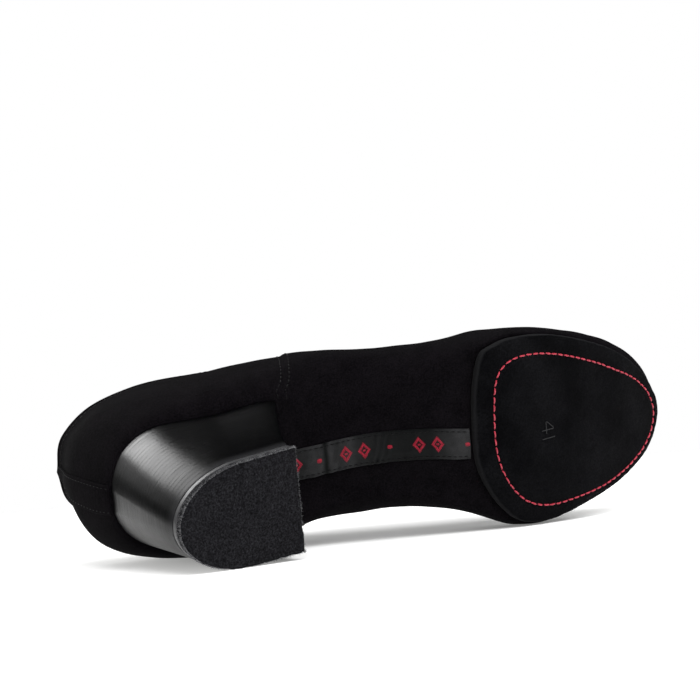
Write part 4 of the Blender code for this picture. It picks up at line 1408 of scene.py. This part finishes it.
def build_tape():
    """The woven tape along the waist, its ripples, its stitched edges and its woven figures."""
    ends = crowded(0.0, TAPE_PLACES[-1], 260, 0.0)
    across = np.linspace(-TAPE_WIDTH / 2, TAPE_WIDTH / 2, 27)
    u, v = np.meshgrid(ends, across)
    edge = np.clip((TAPE_WIDTH / 2 - np.abs(v)) / 0.0005, 0, 1)
    ripple = tape_lift(u + TAPE_SKEW * v / TAPE_WIDTH)
    top_lift = GAP + TAPE_THICKNESS * (0.45 + 0.45 * edge ** 0.5) + ripple
    top, _ = tape_points(u, v, top_lift)
    under, _ = tape_points(u, v, np.full_like(u, GAP * 0.3) + ripple * 0.5)
    uvs = np.tile(np.column_stack((u.ravel(), v.ravel())), (2, 1))
    piece("waist_tape", slab("waist_tape", top, under, uvs), (TAPE,), ("arch_tape",))

    runs = []
    for share in (-1.0, 1.0):
        along = np.linspace(0.001, TAPE_PLACES[-1] - 0.001, 200)
        v = np.full_like(along, share * (TAPE_WIDTH / 2 - 0.0013))
        line, up = tape_points(along, v, tape_top(along, v))
        runs.append(stitch_lines(line, up, TAPE_STITCH))
    stitches("tape_stitches", runs, BLACK_THREAD)
    build_figures()


def build_figures():
    """Small woven lozenges in pairs, with a dot between the pairs, as rows of red weft threads."""
    lines = []
    radii = []

    def weft(along, low, high):
        if high - low < WEFT_SHORTEST:
            return
        t = np.linspace(0, 1, max(int((high - low) / WEFT_STEP), 2) + 1)
        v = low + (high - low) * t
        u = np.full_like(v, along)
        lines.append(tape_points(u, v, tape_top(u, v)))
        radii.append(WEFT_RADII)

    for place in FIGURES:
        for offset in (-FIGURE_APART / 2, FIGURE_APART / 2):
            steps = int(FIGURE_LONG / FIGURE_PITCH)
            for k in range(-steps, steps + 1):
                along = place + offset + k * FIGURE_PITCH
                if not WEFT_STEP < along < TAPE_PLACES[-1] - WEFT_STEP:
                    continue
                share = abs(k) / (steps + 0.5)
                outer = FIGURE_TALL * (1 - share)
                hollow = max(outer - FIGURE_WALL, 0.0) if share < 0.72 else 0.0
                weft(along, -outer, -hollow)
                weft(along, hollow, outer)
                if abs(k) <= 1:
                    weft(along, -0.0004, 0.0004)
    for place in DOTS:
        for k in range(-2, 3):
            tall = DOT_TALL * np.sqrt(1 - (k / 3) ** 2)
            weft(place + k * FIGURE_PITCH, -tall, tall)
    mesh = tubes("woven_figures", lines, radii, 6)
    piece("woven_figures", mesh, (RED_WEFT,))


# Inside, tongue and laces

def build_insole():
    """The sock lies on the margin and the waist: a thin pad with a soft edge."""
    inset = INSOLE_MARGIN + FEATHER_SETBACK + WALL
    x = inset + (LENGTH - 2 * inset) * share_of(np.linspace(0, np.pi, 120))
    across = np.linspace(-1, 1, 33)
    rows = []
    for height in (INSOLE_THICKNESS, 0.0):
        grid = np.empty((len(across), len(x), 3))
        for j, share in enumerate(across):
            side = 1.0 if share > 0 else -1.0
            half = feather_half(x, side) - INSOLE_MARGIN - WALL * 0.5
            y = middle(x / LENGTH) + share * half
            out = np.abs(share) * half / np.maximum(feather_half(x, side), 1e-4)
            rise = smooth(column(RISES, 0), column(RISES, 2), x / LENGTH) * INSTEP_DEPTH
            slope = np.gradient(bottom_height(x), x)
            steep = np.sqrt(1 + slope ** 2 + (rise / np.maximum(feather_half(x, 1.0), 1e-3)) ** 2)
            floor = bottom_height(x) + rise * np.minimum(out, 1) + (WALL + INSOLE_CLEARANCE) * steep
            crown = height * (1 - 0.7 * np.abs(share) ** 6)
            grid[j] = np.column_stack((x, y, floor + crown))
        rows.append(grid)
    piece("sock", slab("sock", *rows), (LINING,), ("insole",))


def tongue_line(angle, depth, count):
    """One line across the tongue under the throat, from the inner side to the outer."""
    rows = np.linspace(TONGUE_ROW, ROWS[-1], count)
    inner, _ = WALLS[1.0].at(angle, rows, depth)
    outer, _ = WALLS[-1.0].at(angle, rows[::-1], depth)
    line = np.concatenate((inner, outer))
    if np.linalg.norm(inner[-1] - outer[0]) > 0.001:
        gap = np.linspace(0, 1, 8)[1:-1, None]
        bridge = inner[-1] * (1 - gap) + outer[0] * gap
    else:
        bridge = np.repeat((inner[-1:] + outer[:1]) / 2, 6, axis=0)
    return np.concatenate((line[:count], bridge, line[count:]))


def build_tongue():
    """The tongue under the laces, rounded and a little flared above the throat."""
    depth = -(WALL + GAP + TONGUE_THICKNESS)
    angles = np.linspace(float(turn(THROAT_TOP)), float(turn(TONGUE_END)), 60)
    lines = [tongue_line(a, depth, 12) for a in angles]
    first = lines[0]
    centre = first[len(first) // 2]
    slope = unit((lines[0] - lines[2])[len(first) // 2])
    tops = []
    for t in np.linspace(1.0, 0.08, 10):
        narrow = 1.0 - 0.14 * t ** 2
        base = centre + (first - centre) * narrow
        across = np.linspace(-1, 1, len(first))
        reach = TONGUE_RISE * t * (1 - 0.25 * t * across ** 2)
        tops.append(base + slope * reach[:, None])
    grid = np.array(tops + lines).swapaxes(0, 1)
    faces = grid_faces(*grid.shape[:2], reverse=True)
    mesh = mesh_from("tongue_leaf", grid.reshape(-1, 3), faces, weld=1e-5)
    body = piece("tongue_leaf", mesh, (NUBUCK,), ("tongue",))
    thicken(body, TONGUE_THICKNESS, 1.0)


def eyelet_places():
    """Angle, row and side of each eyelet, in pairs from the top of the throat down."""
    pairs = []
    for share in np.linspace(THROAT_TOP + EYELET_TOP, FACING_END - EYELET_LOW, EYELET_PAIRS):
        angle = float(turn(share))
        pair = []
        for side in SIDES:
            edge, _ = WALLS[side].at(angle, ROWS[-1])
            below, _ = WALLS[side].at(angle, ROWS[-3])
            row = ROWS[-1] - (ROWS[-1] - ROWS[-3]) * EYELET_INSET / np.linalg.norm(edge - below)
            pair.append((angle, row, side))
        pairs.append(pair)
    return pairs


def build_eyelets():
    """Rolled metal rings with a dark throat, on the facings."""
    points = []
    faces = []
    turns = np.linspace(0, 2 * np.pi, 28, endpoint=False)
    for pair in eyelet_places():
        for angle, row, side in pair:
            seat, normal = WALLS[side].at(angle, row, FACING_TOP)
            along = WALLS[side].at(angle + 0.01, row, FACING_TOP)[0] - seat
            along = unit(along - normal * (along @ normal))
            across = np.cross(normal, along)
            ring = np.cos(turns)[:, None] * along + np.sin(turns)[:, None] * across
            start = sum(len(p) for p in points)
            rings = [seat + ring * EYELET_RADIUS * wide + normal * high for wide, high in EYELET_PROFILE]
            grid = np.array(rings)
            points.append(grid.reshape(-1, 3))
            last = start + (len(grid) - 1) * len(turns)
            faces += grid_faces(len(grid), len(turns), close=True, start=start)
            faces.append(tuple(start + k for k in range(len(turns))))
            faces.append(tuple(last + k for k in reversed(range(len(turns)))))
    mesh = outward_faces(mesh_from("eyelet_rings", np.concatenate(points), faces, weld=0))
    names = [f"eyelet_{side}_{k}" for side in ("inner", "outer") for k in range(1, EYELET_PAIRS + 1)]
    piece("eyelet_rings", mesh, (METAL,), names, 40)


def build_laces():
    """Bars of round cord from eyelet to eyelet, diving into the eyelets at both ends."""
    lines = []
    radii = []
    shares, heights = np.array(LACE_COURSE).T
    for pair in eyelet_places():
        halves = []
        ups = []
        for angle, row, side in pair:
            rows = row + (ROWS[-1] - row) * shares
            line, up = WALLS[side].at(angle, rows, FACING_TOP + heights)
            halves.append(line)
            ups.append(up)
        inner, outer = halves
        bridge = (inner[-1] + outer[-1]) / 2
        route = np.concatenate((inner, bridge[None], outer[::-1]))
        up = np.concatenate((ups[0], (ups[0][-1:] + ups[1][-1:]) / 2, ups[1][::-1]))
        places = places_along(route)
        fine = np.linspace(0, places[-1], 70)
        line = np.column_stack([smooth(places, route[:, k], fine) for k in range(3)])
        lines.append((line, between(fine, places, up)))
        radii.append((LACE_RADIUS, LACE_RADIUS * 0.8))
    size = 14
    mesh = tubes("lace_bars", lines, radii, size)
    layer = mesh.uv_layers.new(name="UVMap")
    uv = np.empty((len(mesh.loops), 2))
    index = np.empty(len(mesh.loops), int)
    mesh.loops.foreach_get("vertex_index", index)
    uv[:, 0] = (index % size) * (4.0 / size)
    uv[:, 1] = (index // size) * 0.6
    layer.data.foreach_set("uv", uv.ravel())
    names = [f"lace_bar_{k}" for k in range(1, EYELET_PAIRS + 1)]
    piece("lace_bars", mesh, (CORD,), names)


# Loose fibres

def build_fibres(tip):
    """Short suede fibres round the heel tip's edge."""
    lines = []
    radii = []
    centre = tip.mean(axis=0)
    places = RANDOM.uniform(0, len(tip), FIBRE_COUNT)
    for place in places:
        a = tip[int(place) % len(tip)]
        b = tip[(int(place) + 1) % len(tip)]
        spot = a + (b - a) * (place % 1)
        out = unit(spot - centre)
        height = TIP_THICKNESS * RANDOM.uniform(0.0, 1.0) ** 2.5
        start = np.array((*(spot - out * 0.0002), height))
        heading = unit(np.array((*out, 0.0)) + RANDOM.normal(size=3) * (0.5, 0.5, 0.45))
        length = RANDOM.uniform(*FIBRE_LENGTHS)
        t = np.array((0.0, 0.5, 1.0))[:, None]
        curl = RANDOM.normal(size=3) * 0.00012
        line = start + heading * length * t + curl * t ** 2
        if to_world(line)[:, 2].min() < FIBRE_FLOOR:
            continue
        # a slanting normal, since hardly any fibre points along it
        lines.append((line, np.tile((0.123, 0.456, 0.88), (3, 1))))
        radii.append((np.array((1.0, 0.7, 0.2)) * FIBRE_RADIUS,) * 2)
    mesh = tubes("tip_fibres", lines, radii, 3)
    piece("tip_fibres", mesh, (FIBRE,))


# Floor and light

def build_stage():
    """A pale floor disc, which glows more away from the shoe so that only near shadows show."""
    mesh = bpy.data.meshes.new("floor")
    bm = bmesh.new()
    bmesh.ops.create_circle(bm, cap_ends=True, segments=96, radius=FLOOR_RADIUS)
    bm.to_mesh(mesh)
    bm.free()
    floor = bpy.data.objects.new("floor", mesh)
    made = Finish("floor", (0.82, 0.82, 0.82), 0.6, specular_ior_level=0.1)
    apart = made.measure("DISTANCE", made.place, (*GLOW_CENTRE, 0.0))
    glow = made.ramp(apart, *GLOW_REACH, *FLOOR_GLOW)
    made.tree.links.new(glow, made.shader.inputs["Emission Strength"])
    made.shader.inputs["Emission Color"].default_value = (1.0, 1.0, 0.985, 1.0)
    mesh.materials.append(made.material)
    bpy.context.scene.collection.objects.link(floor)


def area_light(name, place, aim, size, power, mirrored, lighting):
    data = bpy.data.lights.new(name, "AREA")
    data.shape = "RECTANGLE"
    data.size, data.size_y = size
    data.energy = power
    light = bpy.data.objects.new(name, data)
    light.location = place
    light.rotation_euler = (Vector(aim) - Vector(place)).to_track_quat("-Z", "Y").to_euler()
    bpy.context.scene.collection.objects.link(light)
    light.visible_camera = False
    light.visible_glossy = mirrored
    light.visible_diffuse = lighting


def build_light():
    """The lights of the table above, in a dim surrounding that the camera sees as plain white."""
    for settings in LIGHTS:
        area_light(*settings)
    world = bpy.data.worlds.new("studio")
    bpy.context.scene.world = world
    world.use_nodes = True
    tree = world.node_tree
    dim = tree.nodes["Background"]
    dim.inputs["Color"].default_value = (*WORLD_GREY, 1.0)
    white = tree.nodes.new("ShaderNodeBackground")
    white.inputs["Color"].default_value = (1.0, 1.0, 1.0, 1.0)
    path = tree.nodes.new("ShaderNodeLightPath")
    both = tree.nodes.new("ShaderNodeMixShader")
    tree.links.new(path.outputs["Is Camera Ray"], both.inputs[0])
    tree.links.new(dim.outputs[0], both.inputs[1])
    tree.links.new(white.outputs[0], both.inputs[2])
    tree.links.new(both.outputs[0], tree.nodes["World Output"].inputs["Surface"])
    bpy.context.scene.view_settings.view_transform = "Standard"
    bpy.context.scene.view_settings.look = "None"


SHOE = shoe_matrix()
make_camera()
WALLS = {side: Wall(side) for side in SIDES}
TAPE_START = float(feather_angle(HEEL_BREAST + TAPE_THICKNESS + GAP))
TAPE_STOP = float(feather_angle(PAD_REAR - 2 * GAP))
TAPE_ANGLES = np.linspace(TAPE_START, TAPE_STOP, 200)
TAPE_PLACES = places_along(WALLS[1.0].at(TAPE_ANGLES, 0.0)[0])

NUBUCK = nubuck_finish()
PAD_SUEDE = pad_finish()
TIP_SUEDE = tip_finish()
STACK = stack_finish()
LIFT = lift_finish()
TAPE = tape_finish()
LINING = lining_finish()
METAL = metal_finish()
CORD = cord_finish()
BLACKS = ((0.0010, 0.0009, 0.0011), (0.0034, 0.0030, 0.0036))
BLACK_THREAD = thread_finish("black thread", *BLACKS, gloss=0.08)
RED_THREAD = thread_finish("red thread", (0.20, 0.005, 0.016), (0.46, 0.046, 0.072), gloss=0.4)
RED_WEFT = thread_finish("red weft", (0.19, 0.004, 0.014), (0.42, 0.016, 0.040))
MARK = thread_finish("pressed mark", (0.010, 0.010, 0.011), (0.020, 0.020, 0.021))
FIBRE = thread_finish("suede fibre", (0.030, 0.030, 0.033), (0.220, 0.220, 0.230))

build_upper()
build_collar()
build_back_stay()
build_facings()
build_seam_stitches()
build_pad()
build_size_mark()
TIP_OUTLINE = build_heel()
build_tape()
build_insole()
build_tongue()
build_eyelets()
build_laces()
build_fibres(TIP_OUTLINE)
build_stage()
build_light()
